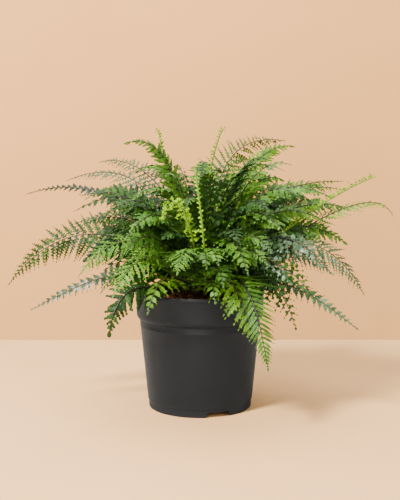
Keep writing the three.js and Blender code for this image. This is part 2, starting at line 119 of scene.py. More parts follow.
def choose_edges(obj: Object, wanted: Callable[[Vector, Vector], bool]) -> None:
    """Selects the edges of obj, open in edit mode, whose two ends are wanted.

    Args:
        obj: the object that is open in edit mode.
        wanted: says for the places of an edge's two ends whether it is to be selected.
    """
    bpy.ops.mesh.select_mode(type="EDGE")
    cage = bmesh.from_edit_mesh(obj.data)
    for edge in cage.edges:
        edge.select_set(wanted(*(vertex.co for vertex in edge.verts)))
    bmesh.update_edit_mesh(obj.data)


def at_corner(corner: Vector) -> Callable[[Vector], bool]:
    """Makes the test that is true only for a vertex at the corner."""
    return lambda place: (place - corner).length < NEAR


def apply_place(obj: Object) -> None:
    """Moves the object's place, turn and scale into its mesh."""
    pick(obj)
    bpy.ops.object.transform_apply(location=True, rotation=True, scale=True)


def apply_modifier(obj: Object, modifier: Modifier) -> None:
    """Applies one modifier to the mesh of obj."""
    pick(obj)
    bpy.ops.object.modifier_apply(modifier=modifier.name)


def smooth(obj: Object, limit: float) -> None:
    """Shades obj smooth, with an edge wherever its faces turn by more than limit degrees."""
    pick(obj)
    bpy.ops.object.shade_smooth_by_angle(angle=math.radians(limit))


def dress(obj: Object, material: Material, limit: float) -> None:
    """Gives obj its one material, and shades it smooth.

    Args:
        obj: the finished piece.
        material: its material.
        limit: how far its faces turn, in degrees, before an edge stays sharp.
    """
    obj.data.materials.clear()
    obj.data.materials.append(material)
    smooth(obj, limit)


def paint(mesh: Mesh, name: str, values: np.ndarray) -> None:
    """Gives each face of a mesh its value of a new attribute."""
    layer = mesh.attributes.new(name, "FLOAT", "FACE")
    layer.data.foreach_set("value", values)


def centred_circle(azimuth: float, reach: float, height: float) -> Place:
    """The place at an azimuth in degrees, at a reach from the axis and a height, in metres."""
    angle = math.radians(azimuth)
    return reach * math.cos(angle), reach * math.sin(angle), height


def turned(name: str, profile: Sequence[RowPoint], sides: int) -> Object:
    """Turns a closed round body out of a ring that is extruded along a profile.

    Args:
        name: the name of the new piece.
        profile: radius and height of each ring, in millimetres, with a flat face at both ends.
        sides: the number of sides of each ring.

    Returns:
        The new object, with its place in its mesh.
    """
    deselect()
    radius, height = profile[0]
    bpy.ops.mesh.primitive_circle_add(
        vertices=sides, radius=radius * MM, fill_type="NGON", location=(0, 0, height * MM)
    )
    obj = bpy.context.object
    obj.name = name
    apply_place(obj)
    editing(obj)
    bpy.ops.mesh.select_all(action="SELECT")
    bpy.ops.mesh.delete(type="ONLY_FACE")
    bpy.ops.mesh.select_all(action="SELECT")
    bpy.ops.mesh.edge_face_add()
    for before, after in zip(profile, profile[1:]):
        bpy.ops.mesh.extrude_region_move(
            TRANSFORM_OT_translate={"value": (0, 0, (after[1] - before[1]) * MM)}
        )
        grow = after[0] / before[0]
        bpy.ops.transform.resize(value=(grow, grow, 1), center_override=(0, 0, 0))
    bpy.ops.mesh.select_all(action="SELECT")
    bpy.ops.mesh.normals_make_consistent(inside=False)
    done_editing()
    return obj


def cut(obj: Object, cutter: Object) -> None:
    """Cuts a shape out of obj.

    Args:
        obj: the object that gets the hole.
        cutter: the shape that is cut out, which is removed afterwards.
    """
    boolean = obj.modifiers.new("cut", "BOOLEAN")
    boolean.operation = "DIFFERENCE"
    boolean.solver = "EXACT"
    boolean.object = cutter
    apply_modifier(obj, boolean)
    bpy.data.objects.remove(cutter)


def lumps(obj: Object, grain: float, height: float, floor: float) -> None:
    """Raises soft lumps on the part of a mesh that lies above a height.

    Args:
        obj: the mesh object.
        grain: the size of the lumps, in metres.
        height: how far the surface moves between hollow and lump, in metres.
        floor: the height above which the surface moves, in metres.
    """
    group = obj.vertex_groups.new(name="open surface")
    raised = [vertex.index for vertex in obj.data.vertices if vertex.co.z > floor]
    group.add(raised, 1.0, "REPLACE")
    clouds = bpy.data.textures.new("lumps", "CLOUDS")
    clouds.noise_scale = grain
    clouds.noise_depth = 4
    displace = obj.modifiers.new("lumps", "DISPLACE")
    displace.texture = clouds
    displace.texture_coords = "LOCAL"
    displace.vertex_group = group.name
    displace.strength = height
    displace.direction = "Z"
    apply_modifier(obj, displace)
    obj.vertex_groups.clear()


# ---- patterns: small shapes modelled once and copied many times ----


@dataclass(frozen=True)
class Pattern:
    """A small closed mesh of triangles, with its length along x from 0 to 1."""

    points: np.ndarray
    faces: np.ndarray

    @classmethod
    def taken_from(cls, obj: Object) -> "Pattern":
        """Reads the pattern off a modelled object, and removes the object.

        Args:
            obj: the object, a closed mesh.

        Returns:
            The pattern, in triangles that face outwards.
        """
        editing(obj, "FACE")
        bpy.ops.mesh.select_all(action="SELECT")
        bpy.ops.mesh.quads_convert_to_tris()
        bpy.ops.mesh.normals_make_consistent(inside=False)
        done_editing()
        mesh = obj.data
        points = np.array([vertex.co[:] for vertex in mesh.vertices])
        faces = np.array([polygon.vertices[:] for polygon in mesh.polygons])
        bpy.data.objects.remove(obj)
        return cls(points, faces)

    def mirrored(self) -> "Pattern":
        """The same shape with its left and right changed over."""
        return Pattern(self.points * (1, -1, 1), self.faces[:, ::-1])

    def underside(self) -> np.ndarray:
        """Tells the faces that look down from the others.

        Returns:
            1 for each face that looks down, and 0 for each of the others.
        """
        corners = self.points[self.faces]
        normals = np.cross(corners[:, 1] - corners[:, 0], corners[:, 2] - corners[:, 0])
        return (normals[:, 2] < 0).astype(float)


class Form(Enum):
    """The outlines that a leaflet can have, as half the rim from the tip to the base.

    Each corner is how far along the leaflet it stands, and how far aside of its rib on the
    side that looks to the tip of the leaf and on the other side.
    """

    TOOTHED = ((0.8, 0.24, 0.22), (0.63, 0.26, 0.26), (0.42, 0.5, 0.46), (0.12, 0.42, 0.34))
    BROAD = (
        (0.84, 0.17, 0.17),
        (0.74, 0.19, 0.19),
        (0.54, 0.42, 0.4),
        (0.42, 0.3, 0.3),
        (0.12, 0.5, 0.44),
    )
    ROUND = (
        (0.9, 0.3, 0.3),
        (0.68, 0.47, 0.45),
        (0.45, 0.52, 0.48),
        (0.23, 0.44, 0.4),
        (0.07, 0.26, 0.22),
    )
    NARROW = ((0.8, 0.28, 0.26), (0.46, 0.5, 0.46), (0.14, 0.38, 0.3))
    WEDGE = (
        (0.8, 0.16, 0.16),
        (0.62, 0.22, 0.22),
        (0.44, 0.34, 0.34),
        (0.24, 0.42, 0.42),
        (0.02, 0.52, 0.52),
    )


@dataclass
class PatternBook:
    """Every pattern that the plant is made of."""

    crest: float = 0.07  # height of a leaflet's rib over its edge, as a share of its width
    keel: float = 0.11  # depth of a leaflet's underside, as a share of its width
    middle: float = 0.42  # how far along a leaflet its crest and its keel are
    leaflets: dict[Form, tuple[Pattern, Pattern]] = field(default_factory=dict)

    def __post_init__(self) -> None:
        """Models every pattern."""
        for form in Form:
            leaflet = self.leaflet(form)
            self.leaflets[form] = (leaflet, leaflet.mirrored())
        self.stalk = self.rod(sides=6, rings=30, taper=0.0)
        self.rib = self.rod(sides=4, rings=4, taper=0.72)
        self.fibre = self.rod(sides=4, rings=5, taper=0.5)
        self.scale = self.splinter(sides=6, width=0.5, depth=0.12)
        self.chip = self.crumb()

    def leaflet(self, form: Form) -> Pattern:
        """Models a leaflet: a fan of faces above and one below, drawn out to its outline.

        Args:
            form: the outline.

        Returns:
            The leaflet, whose left edge looks to the tip of the leaf.
        """
        rim = [(1.0, 0.0)]
        rim += [(along, fore) for along, fore, _ in form.value]
        rim += [(0.0, 0.0)]
        rim += [(along, -rear) for along, _, rear in reversed(form.value)]
        deselect()
        bpy.ops.mesh.primitive_cone_add(
            vertices=len(rim), radius1=1, radius2=0, depth=1, end_fill_type="TRIFAN"
        )
        obj = bpy.context.object
        corners = [2 * math.pi * index / len(rim) for index in range(len(rim))]
        moves = [
            (Vector((math.cos(angle), math.sin(angle), -0.5)), Vector((along, aside, 0)))
            for angle, (along, aside) in zip(corners, rim)
        ]
        moves += [
            (Vector((0, 0, 0.5)), Vector((self.middle, 0, self.crest))),
            (Vector((0, 0, -0.5)), Vector((self.middle, 0, -self.keel))),
        ]
        editing(obj)
        for before, after in moves:
            choose(obj, at_corner(before))
            bpy.ops.transform.translate(value=after - before)
        done_editing()
        return Pattern.taken_from(obj)

    def rod(self, sides: int, rings: int, taper: float) -> Pattern:
        """Models a thin rod along x.

        Args:
            sides: how many sides it has.
            rings: how many lengths it is divided into.
            taper: how much thinner its far end is, as a share.

        Returns:
            The rod, 1 long and with a radius of 1 at its near end.
        """
        deselect()
        bpy.ops.mesh.primitive_cylinder_add(
            vertices=sides, radius=1, depth=1, end_fill_type="TRIFAN",
            location=(0.5, 0, 0), rotation=(0, math.pi / 2, 0),
        )
        obj = bpy.context.object
        apply_place(obj)
        editing(obj)
        choose_edges(obj, lambda first, second: abs(first.x - second.x) > 0.5)
        bpy.ops.mesh.subdivide(number_cuts=rings - 1)
        bpy.ops.mesh.select_mode(type="VERT")
        if taper:
            for ring in range(1, rings + 1):
                share = ring / rings
                slim = 1 - taper * share
                choose(obj, lambda place: abs(place.x - share) < NEAR)
                bpy.ops.transform.resize(value=(1, slim, slim), center_override=(share, 0, 0))
        done_editing()
        return Pattern.taken_from(obj)

    def splinter(self, sides: int, width: float, depth: float) -> Pattern:
        """Models a thin pointed scale, widest near its foot.

        Args:
            sides: how many sides its outline has.
            width: its width, as a share of its length.
            depth: its thickness, in the same way.

        Returns:
            The scale, 1 long.
        """
        deselect()
        bpy.ops.mesh.primitive_cone_add(
            vertices=sides, radius1=0.5, radius2=0, depth=1, end_fill_type="TRIFAN"
        )
        obj = bpy.context.object
        editing(obj)
        bpy.ops.mesh.select_all(action="SELECT")
        bpy.ops.transform.resize(value=(1, width, depth), center_override=(0, 0, 0))
        bpy.ops.transform.translate(value=(0.5, 0, 0))
        choose(obj, lambda place: place.z > 0.4 * depth)
        bpy.ops.transform.translate(value=(-0.2, 0, 0))
        done_editing()
        return Pattern.taken_from(obj)

    def crumb(self) -> Pattern:
        """Models a crumb of bark, uneven and a little flat.

        Returns:
            The crumb, 1 long.
        """
        deselect()
        bpy.ops.mesh.primitive_ico_sphere_add(subdivisions=1, radius=0.5)
        obj = bpy.context.object
        editing(obj)
        bpy.ops.mesh.select_all(action="SELECT")
        bpy.ops.transform.vertex_random(offset=0.16, uniform=0.0, normal=0.0, seed=4)
        bpy.ops.transform.resize(value=(1, 0.7, 0.45), center_override=(0, 0, 0))
        bpy.ops.transform.translate(value=(0.5, 0, 0))
        done_editing()
        return Pattern.taken_from(obj)


@dataclass
class Stations:
    """Places along a stalk or a rib: one row of each array for each of them."""

    centre: np.ndarray
    forward: np.ndarray
    left: np.ndarray
    up: np.ndarray


@dataclass
class Placing:
    """Where a number of copies of one pattern go: one row of each array for each copy."""

    roots: np.ndarray
    along: np.ndarray
    up: np.ndarray
    sizes: np.ndarray
    bends: np.ndarray
    tints: np.ndarray

    def rows(self) -> tuple[np.ndarray, ...]:
        """Every array, in the order of the fields."""
        return self.roots, self.along, self.up, self.sizes, self.bends, self.tints

    @classmethod
    def joined(cls, parts: Sequence["Placing"]) -> "Placing":
        """All the copies of several placings in one."""
        return cls(*(np.concatenate(rows) for rows in zip(*(part.rows() for part in parts))))

    def chosen(self, mask: np.ndarray) -> "Placing":
        """Only the copies that the mask keeps."""
        return Placing(*(rows[mask] for rows in self.rows()))

    def arc(self, index: int, shares: np.ndarray) -> Stations:
        """Finds places along one copy, which bends up in an arc.

        Args:
            index: which copy.
            shares: how far along it each place is, from 0 to 1.

        Returns:
            The places.
        """
        along, up, bend = self.along[index], self.up[index], self.bends[index]
        bend = bend if abs(bend) > STRAIGHT else STRAIGHT
        turn = (bend * shares)[:, None]
        reach = self.sizes[index, 0] / bend
        centre = self.roots[index] + reach * (np.sin(turn) * along + (1 - np.cos(turn)) * up)
        forward = along * np.cos(turn) + up * np.sin(turn)
        left = np.broadcast_to(np.cross(up, along), forward.shape)
        return Stations(centre, forward, left, up * np.cos(turn) - along * np.sin(turn))


class Sheaf:
    """Copies of patterns, gathered into the one mesh of a piece."""

    crease = 70  # how far faces turn, in degrees, before an edge stays sharp
    drawn_from = (0, 0.5)  # where a pattern's root lies on the leaf map

    def __init__(self) -> None:
        """Starts empty."""
        self.points: list[np.ndarray] = []
        self.faces: list[np.ndarray] = []
        self.corners: list[np.ndarray] = []
        self.tints: list[np.ndarray] = []
        self.undersides: list[np.ndarray] = []
        self.slots: list[np.ndarray] = []
        self.count = 0

    def add(self, pattern: Pattern, points: np.ndarray, tints: np.ndarray, slot: int) -> None:
        """Adds copies whose points are known.

        Args:
            pattern: the shape that is copied.
            points: the place of each point of each copy.
            tints: the tint of each copy, or of each face of each copy.
            slot: the number of the material that the copies have.
        """
        copies = len(points)
        starts = self.count + len(pattern.points) * np.arange(copies)
        self.faces.append((pattern.faces[None] + starts[:, None, None]).reshape(-1, 3))
        self.points.append(points.reshape(-1, 3))
        drawn = pattern.points[pattern.faces][:, :, :2] + self.drawn_from
        self.corners.append(np.tile(drawn.reshape(-1, 2), (copies, 1)))
        each = np.broadcast_to(tints.reshape(copies, -1), (copies, len(pattern.faces)))
        self.tints.append(each.reshape(-1))
        self.undersides.append(np.tile(pattern.underside(), copies))
        self.slots.append(np.full(copies * len(pattern.faces), slot))
        self.count += copies * len(pattern.points)

    def lay(self, pattern: Pattern, placing: Placing, slot: int) -> None:
        """Adds copies that start at their roots, point along and bend up in an arc.

        Args:
            pattern: the shape that is copied.
            placing: where the copies go.
            slot: the number of the material that the copies have.
        """
        if not len(placing.roots):
            return
        share = pattern.points[None, :, 0]
        bends = np.where(np.abs(placing.bends) < STRAIGHT, STRAIGHT, placing.bends)[:, None]
        length, width, depth = (placing.sizes[:, axis, None] for axis in range(3))
        turn = bends * share
        lift = depth * pattern.points[None, :, 2]
        run = length * np.sin(turn) / bends - lift * np.sin(turn)
        rise = length * (1 - np.cos(turn)) / bends + lift * np.cos(turn)
        aside = width * pattern.points[None, :, 1]
        across = np.cross(placing.up, placing.along)
        points = (
            placing.roots[:, None]
            + run[..., None] * placing.along[:, None]
            + aside[..., None] * across[:, None]
            + rise[..., None] * placing.up[:, None]
        )
        self.add(pattern, points, placing.tints, slot)

    def build(self, name: str, materials: Sequence[Material]) -> Object:
        """Makes the piece out of all that was gathered.

        Args:
            name: the name of the piece.
            materials: its materials, by the numbers that the copies were given.

        Returns:
            The new object.
        """
        mesh = bpy.data.meshes.new(name)
        faces = np.concatenate(self.faces)
        mesh.from_pydata(np.concatenate(self.points).tolist(), [], faces.tolist())
        paint(mesh, TINT, np.concatenate(self.tints))
        paint(mesh, UNDERSIDE, np.concatenate(self.undersides))
        leaf_map = mesh.uv_layers.new(name=LEAF_MAP)
        leaf_map.data.foreach_set("uv", np.concatenate(self.corners).reshape(-1))
        for material in materials:
            mesh.materials.append(material)
        mesh.polygons.foreach_set("material_index", np.concatenate(self.slots))
        mesh.update()
        obj = bpy.data.objects.new(name, mesh)
        bpy.context.collection.objects.link(obj)
        smooth(obj, self.crease)
        return obj


# ---- finishes ----

def add_node(
    tree: NodeTree, kind: str, inputs: dict[str | int, object], **settings: object
) -> Node:
    """Adds a node and joins or sets its inputs.

    Args:
        tree: the node tree it goes in.
        kind: Blender's name for the node.
        inputs: for each input, the socket that feeds it or its plain value.
        settings: the node's own settings.

    Returns:
        The new node.
    """
    node = tree.nodes.new(kind)
    for name, value in settings.items():
        setattr(node, name, value)
    for name, value in inputs.items():
        if isinstance(value, NodeSocket):
            tree.links.new(value, node.inputs[name])
        elif isinstance(value, tuple) and len(value) == 3 and node.inputs[name].type == "RGBA":
            node.inputs[name].default_value = (*value, 1.0)
        else:
            node.inputs[name].default_value = value
    return node


def maths(tree: NodeTree, operation: str, *values: Value) -> NodeSocket:
    """Adds one step of arithmetic.

    Args:
        tree: the node tree it goes in.
        operation: Blender's name for it. A leading + keeps the result between 0 and 1.
        values: the sockets or plain numbers that it takes.

    Returns:
        The result.
    """
    clamp = operation.startswith("+")
    node = add_node(
        tree,
        "ShaderNodeMath",
        dict(enumerate(values)),
        operation=operation.lstrip("+"),
        use_clamp=clamp,
    )
    return node.outputs[0]


def mixed(tree: NodeTree, share: Value, first: Value, second: Value) -> NodeSocket:
    """A colour between first and second."""
    node = add_node(tree, "ShaderNodeMix", {0: share, 6: first, 7: second}, data_type="RGBA")
    return node.outputs[2]


def ramp(tree: NodeTree, share: NodeSocket, colours: Sequence[Colour]) -> NodeSocket:
    """Adds a ramp that runs evenly through some colours.

    Args:
        tree: the node tree it goes in.
        share: how far along the ramp, from 0 to 1.
        colours: the colours, in order.

    Returns:
        The colour there.
    """
    node = add_node(tree, "ShaderNodeValToRGB", {"Fac": share})
    elements = node.color_ramp.elements
    while len(elements) < len(colours):
        elements.new(0.5)
    for index, (element, colour) in enumerate(zip(elements, colours)):
        element.position = index / (len(colours) - 1)
        element.color = (*colour, 1.0)
    return node.outputs["Color"]


def noise(tree: NodeTree, place: NodeSocket, scale: Value, detail: float) -> NodeSocket:
    """Adds a noise over a place, and gives its value."""
    inputs = {"Vector": place, "Scale": scale, "Detail": detail}
    return add_node(tree, "ShaderNodeTexNoise", inputs).outputs["Fac"]


def own_place(tree: NodeTree) -> NodeSocket:
    """The place of a point in its piece's own coordinates."""
    return add_node(tree, "ShaderNodeTexCoord", {}).outputs["Object"]


def attribute(tree: NodeTree, name: str) -> NodeSocket:
    """The value of a mesh attribute."""
    return add_node(tree, "ShaderNodeAttribute", {}, attribute_name=name).outputs["Fac"]


def tinted(
    tree: NodeTree, mask: NodeSocket, spread: float, colours: Sequence[Colour]
) -> NodeSocket:
    """Turns the tint of each face into a colour.

    Args:
        tree: the material's tree.
        mask: what makes the tint uneven, from 0 to 1.
        spread: how much of the tint's range the mask covers.
        colours: the colours from the lowest tint to the highest.

    Returns:
        The colour.
    """
    shift = maths(tree, "MULTIPLY_ADD", mask, spread, -spread / 2)
    return ramp(tree, maths(tree, "+ADD", attribute(tree, TINT), shift), colours)


def start_group(
    name: str, inputs: Sequence[tuple[str, str]], outputs: Sequence[str]
) -> tuple[NodeTree, Node, Node]:
    """Starts a shader node group.

    Args:
        name: the name of the group.
        inputs: the name and kind, Float or Vector, of each input.
        outputs: the names of its outputs, all plain values.

    Returns:
        The group's tree, its input node and its output node.
    """
    tree = bpy.data.node_groups.new(name, "ShaderNodeTree")
    for socket, kind in inputs:
        tree.interface.new_socket(socket, in_out="INPUT", socket_type=f"NodeSocket{kind}")
    for socket in outputs:
        tree.interface.new_socket(socket, in_out="OUTPUT", socket_type="NodeSocketFloat")
    return tree, tree.nodes.new("NodeGroupInput"), tree.nodes.new("NodeGroupOutput")


class Effects:
    """The node groups that more than one material uses, each built when it is first asked for."""

    fleck_share = 0.4  # how strong the flecks are next to the patches
    rib_slimness = 14.0
    vein_sweep = 0.8  # how far the side veins lean to the tip
    vein_slimness = 4.0
    vein_height = 0.35  # as a share of the rib's
    streak_draw = (1.0, 1.0, 0.12)  # streaks run up and down

    @staticmethod
    @cache
    def mottle() -> NodeTree:
        """Makes soft patches over finer flecks.

        Returns:
            The group, whose mask is from 0 to 1.
        """
        tree, given, out = start_group(
            "mottle", [("Place", "Vector"), ("Patch", "Float"), ("Fleck", "Float")], ["Mask"]
        )
        place, patch_scale, fleck_scale = given.outputs[:3]
        patches = noise(tree, place, patch_scale, 2.0)
        flecks = noise(tree, place, fleck_scale, 3.0)
        slight = maths(tree, "MULTIPLY_ADD", flecks, Effects.fleck_share, -Effects.fleck_share / 2)
        tree.links.new(maths(tree, "+ADD", patches, slight), out.inputs[0])
        return tree

    @staticmethod
    @cache
    def veins() -> NodeTree:
        """Makes a leaflet's middle rib and its side veins.

        Returns:
            The group, which says where the rib is, and how high rib and veins stand.
        """
        tree, given, out = start_group(
            "veins", [("Leaf", "Vector"), ("Pairs", "Float")], ["Rib", "Height"]
        )
        leaf, pairs = given.outputs[:2]
        split = add_node(tree, "ShaderNodeSeparateXYZ", {0: leaf})
        aside = maths(tree, "ABSOLUTE", maths(tree, "SUBTRACT", split.outputs[1], 0.5))
        rib = maths(tree, "+SUBTRACT", 1.0, maths(tree, "MULTIPLY", aside, Effects.rib_slimness))
        sweep = maths(tree, "MULTIPLY", aside, Effects.vein_sweep)
        swept = maths(tree, "SUBTRACT", split.outputs[0], sweep)
        turn = maths(tree, "MULTIPLY", maths(tree, "MULTIPLY", swept, pairs), 2 * math.pi)
        wave = maths(tree, "+MULTIPLY_ADD", maths(tree, "SINE", turn), 0.5, 0.5)
        veins = maths(tree, "POWER", wave, Effects.vein_slimness)
        low = maths(tree, "MULTIPLY", veins, Effects.vein_height)
        tree.links.new(rib, out.inputs[0])
        tree.links.new(maths(tree, "+ADD", low, rib), out.inputs[1])
        return tree

    @staticmethod
    @cache
    def grain() -> NodeTree:
        """Makes a fine grain with long soft streaks in it.

        Returns:
            The group, which gives the height of both and a mask of the streaks.
        """
        tree, given, out = start_group(
            "grain",
            [("Place", "Vector"), ("Scale", "Float"), ("Streak", "Float")],
            ["Height", "Mask"],
        )
        place, scale, streak_scale = given.outputs[:3]
        fine = noise(tree, place, scale, 4.0)
        drawn = add_node(tree, "ShaderNodeMapping", {"Vector": place, "Scale": Effects.streak_draw})
        streaks = noise(tree, drawn.outputs[0], streak_scale, 3.0)
        half = maths(tree, "MULTIPLY", fine, 0.5)
        tree.links.new(maths(tree, "+MULTIPLY_ADD", streaks, 0.5, half), out.inputs[0])
        tree.links.new(streaks, out.inputs[1])
        return tree


def use_group(tree: NodeTree, group: NodeTree, inputs: dict[str | int, object]) -> Node:
    """Places a node group in a material."""
    return add_node(tree, "ShaderNodeGroup", inputs, node_tree=group)


def new_material(name: str, rough: float, specular: float) -> tuple[Material, NodeTree, Node]:
    """Starts a material.

    Args:
        name: the name of the material.
        rough: its roughness.
        specular: how strongly it reflects.

    Returns:
        The material, its tree and its Principled shader.
    """
    material = bpy.data.materials.new(name)
    material.use_nodes = True
    tree = material.node_tree
    shader = tree.nodes["Principled BSDF"]
    shader.inputs["Roughness"].default_value = rough
    shader.inputs["Specular IOR Level"].default_value = specular
    return material, tree, shader


def bump(
    tree: NodeTree, shader: Node, height: NodeSocket, strength: float, distance: float
) -> None:
    """Joins a height to the shader's normal.

    Args:
        tree: the material's tree.
        shader: its shader.
        height: the height, from 0 to 1.
        strength: how much of it shows.
        distance: how high 1 is, in metres.
    """
    inputs = {"Strength": strength, "Distance": distance, "Height": height}
    tree.links.new(add_node(tree, "ShaderNodeBump", inputs).outputs[0], shader.inputs["Normal"])


@dataclass(frozen=True)
class LeafFinish:
    """How one kind of leaf looks, from its darkest tint to its lightest."""

    name: str
    dark: Colour
    middle: Colour
    light: Colour
    below: Colour
    rough: float
    specular: float

    rib_paleness = 0.3  # how much of the colour below a rib has
    turned_paleness = 0.7  # how much of it the underside has
    mottled_rough = 0.2  # how much rougher the palest patches are than the darkest
    turned_rough = 0.25  # how much rougher the underside is

    def material(self) -> Material:
        """Builds the leaf's material.

        Returns:
            The material.
        """
        material, tree, shader = new_material(self.name, self.rough, self.specular)
        place = own_place(tree)
        leaf = add_node(tree, "ShaderNodeUVMap", {}, uv_map=LEAF_MAP).outputs[0]
        mottle = use_group(tree, Effects.mottle(), {"Place": place, "Patch": 60.0, "Fleck": 700.0})
        veins = use_group(tree, Effects.veins(), {"Leaf": leaf, "Pairs": 5.0})
        patches = mottle.outputs["Mask"]
        blade = tinted(tree, patches, 0.5, (self.dark, self.middle, self.light))
        rib = maths(tree, "MULTIPLY", veins.outputs["Rib"], self.rib_paleness)
        turned_up = maths(tree, "MULTIPLY", attribute(tree, UNDERSIDE), self.turned_paleness)
        colour = mixed(tree, turned_up, mixed(tree, rib, blade, self.below), self.below)
        tree.links.new(colour, shader.inputs["Base Color"])
        least = self.rough - self.mottled_rough / 2
        rough = maths(tree, "MULTIPLY_ADD", patches, self.mottled_rough, least)
        rough = maths(tree, "MULTIPLY_ADD", attribute(tree, UNDERSIDE), self.turned_rough, rough)
        tree.links.new(rough, shader.inputs["Roughness"])
        bump(tree, shader, veins.outputs["Height"], 0.35, 0.3 * MM)
        return material


@dataclass(frozen=True)
class StalkFinish:
    """How a stalk and the ribs of its leaves look, from its foot to its tip."""

    name: str
    foot: Colour
    middle: Colour
    tip: Colour

    def material(self) -> Material:
        """Builds the stalk's material.

        Returns:
            The material.
        """
        material, tree, shader = new_material(self.name, 0.42, 0.45)
        place = own_place(tree)
        grain = use_group(tree, Effects.grain(), {"Place": place, "Scale": 900.0, "Streak": 160.0})
        colour = tinted(tree, grain.outputs["Mask"], 0.3, (self.foot, self.middle, self.tip))
        tree.links.new(colour, shader.inputs["Base Color"])
        bump(tree, shader, grain.outputs["Height"], 0.3, 0.3 * MM)
        return material


@dataclass(frozen=True)
class EarthFinish:
    """How dry, rough plant matter looks: bark chips, fibres or the scales of the crown."""

    name: str
    dark: Colour
    middle: Colour
    light: Colour

    def material(self) -> Material:
        """Builds the material.

        Returns:
            The material.
        """
        material, tree, shader = new_material(self.name, 0.85, 0.25)
        place = own_place(tree)
        mottle = use_group(tree, Effects.mottle(), {"Place": place, "Patch": 120.0, "Fleck": 900.0})
        grain = use_group(tree, Effects.grain(), {"Place": place, "Scale": 700.0, "Streak": 250.0})
        colour = tinted(tree, mottle.outputs["Mask"], 0.9, (self.dark, self.middle, self.light))
        tree.links.new(colour, shader.inputs["Base Color"])
        bump(tree, shader, grain.outputs["Height"], 0.7, 1.2 * MM)
        return material


@dataclass(frozen=True)
class PlasticFinish:
    """How the pot's moulded plastic looks."""

    name: str
    deep: Colour
    worn: Colour
    dust: Colour

    foot_dust = 0.75  # how much dust the splashed foot has
    dust_fall = -30.0  # how fast that fades with height, a metre
    ledge_dust = 0.9  # how much more dust a face has for looking up
    least_ledge = -0.25  # and how far it has to look up for any
    dust_cover = 0.35  # how much the thickest dust hides

    def material(self) -> Material:
        """Builds the plastic, with faint streaks, a fine grain and some dust.

        Returns:
            The material.
        """
        material, tree, shader = new_material(self.name, 0.5, 0.25)
        place = own_place(tree)
        grain = use_group(tree, Effects.grain(), {"Place": place, "Scale": 1300.0, "Streak": 45.0})
        mottle = use_group(tree, Effects.mottle(), {"Place": place, "Patch": 9.0, "Fleck": 160.0})
        patches = mottle.outputs["Mask"]
        base = mixed(tree, patches, self.deep, self.worn)
        height = add_node(tree, "ShaderNodeSeparateXYZ", {0: place}).outputs[2]
        low = maths(tree, "+MULTIPLY_ADD", height, self.dust_fall, self.foot_dust)
        normal = add_node(tree, "ShaderNodeNewGeometry", {}).outputs["Normal"]
        facing = add_node(tree, "ShaderNodeSeparateXYZ", {0: normal}).outputs[2]
        flat = maths(tree, "+MULTIPLY_ADD", facing, self.ledge_dust, self.least_ledge)
        settled = maths(tree, "+MULTIPLY", maths(tree, "ADD", low, flat), patches)
        dusty = maths(tree, "MULTIPLY", settled, self.dust_cover)
        tree.links.new(mixed(tree, dusty, base, self.dust), shader.inputs["Base Color"])
        rough = maths(tree, "MULTIPLY_ADD", patches, 0.22, 0.36)
        tree.links.new(maths(tree, "ADD", rough, dusty), shader.inputs["Roughness"])
        bump(tree, shader, grain.outputs["Height"], 0.25, 0.4 * MM)
        return material


@dataclass(frozen=True)
class StageFinish:
    """How the floor and the backdrop look, and how they throw light back."""

    name: str
    pale: Colour
    shade: Colour
    one_sided: bool = False
    returned: Colour = (0.5, 0.47, 0.43)

    def material(self) -> Material:
        """Builds the plaster, which the backdrop shows only on its front.

        Returns:
            The material.
        """
        material, tree, shader = new_material(self.name, 0.9, 0.2)
        place = own_place(tree)
        mottle = use_group(tree, Effects.mottle(), {"Place": place, "Patch": 3.0, "Fleck": 14.0})
        seen = add_node(tree, "ShaderNodeLightPath", {}).outputs["Is Camera Ray"]
        colour = mixed(tree, mottle.outputs["Mask"], self.pale, self.shade)
        tree.links.new(mixed(tree, seen, self.returned, colour), shader.inputs["Base Color"])
        if self.one_sided:
            behind = add_node(tree, "ShaderNodeNewGeometry", {}).outputs["Backfacing"]
            clear = add_node(tree, "ShaderNodeBsdfTransparent", {}).outputs[0]
            shown = add_node(
                tree, "ShaderNodeMixShader", {0: behind, 1: shader.outputs[0], 2: clear}
            )
            tree.links.new(shown.outputs[0], tree.nodes["Material Output"].inputs["Surface"])
        return material


class Leaves(Enum):
    """The kinds of leaf on the plant."""

    DEEP = LeafFinish(
        "deep_green_leaf", rough=0.42, specular=0.2,
        dark=(0.004, 0.014, 0.003), middle=(0.014, 0.05, 0.007),
        light=(0.052, 0.14, 0.012), below=(0.032, 0.08, 0.014),
    )
    GREEN = LeafFinish(
        "green_leaf", rough=0.4, specular=0.24,
        dark=(0.012, 0.038, 0.003), middle=(0.054, 0.152, 0.01),
        light=(0.185, 0.385, 0.02), below=(0.072, 0.165, 0.017),
    )
    BRIGHT = LeafFinish(
        "bright_leaf", rough=0.42, specular=0.18,
        dark=(0.024, 0.075, 0.002), middle=(0.1, 0.225, 0.006),
        light=(0.25, 0.43, 0.012), below=(0.12, 0.24, 0.016),
    )
    DUSKY = LeafFinish(
        "dusky_leaf", rough=0.38, specular=0.3,
        dark=(0.006, 0.02, 0.009), middle=(0.016, 0.052, 0.02),
        light=(0.055, 0.13, 0.05), below=(0.016, 0.054, 0.022),
    )
    # grey-green colours, paler and bluer than the leaf's own green: partly the leaves' waxy bloom,
    # partly painted reflection of the pale backdrop on their glossy faces
    BLOOM = LeafFinish(
        "waxy_leaf_with_painted_sheen", rough=0.32, specular=0.52,
        dark=(0.01, 0.032, 0.008), middle=(0.042, 0.1, 0.03),
        light=(0.14, 0.235, 0.115), below=(0.066, 0.125, 0.048),
    )
    LIME = LeafFinish(
        "lime_leaf", rough=0.5, specular=0.12,
        dark=(0.12, 0.3, 0.003), middle=(0.3, 0.58, 0.006),
        light=(0.5, 0.8, 0.012), below=(0.32, 0.58, 0.012),
    )


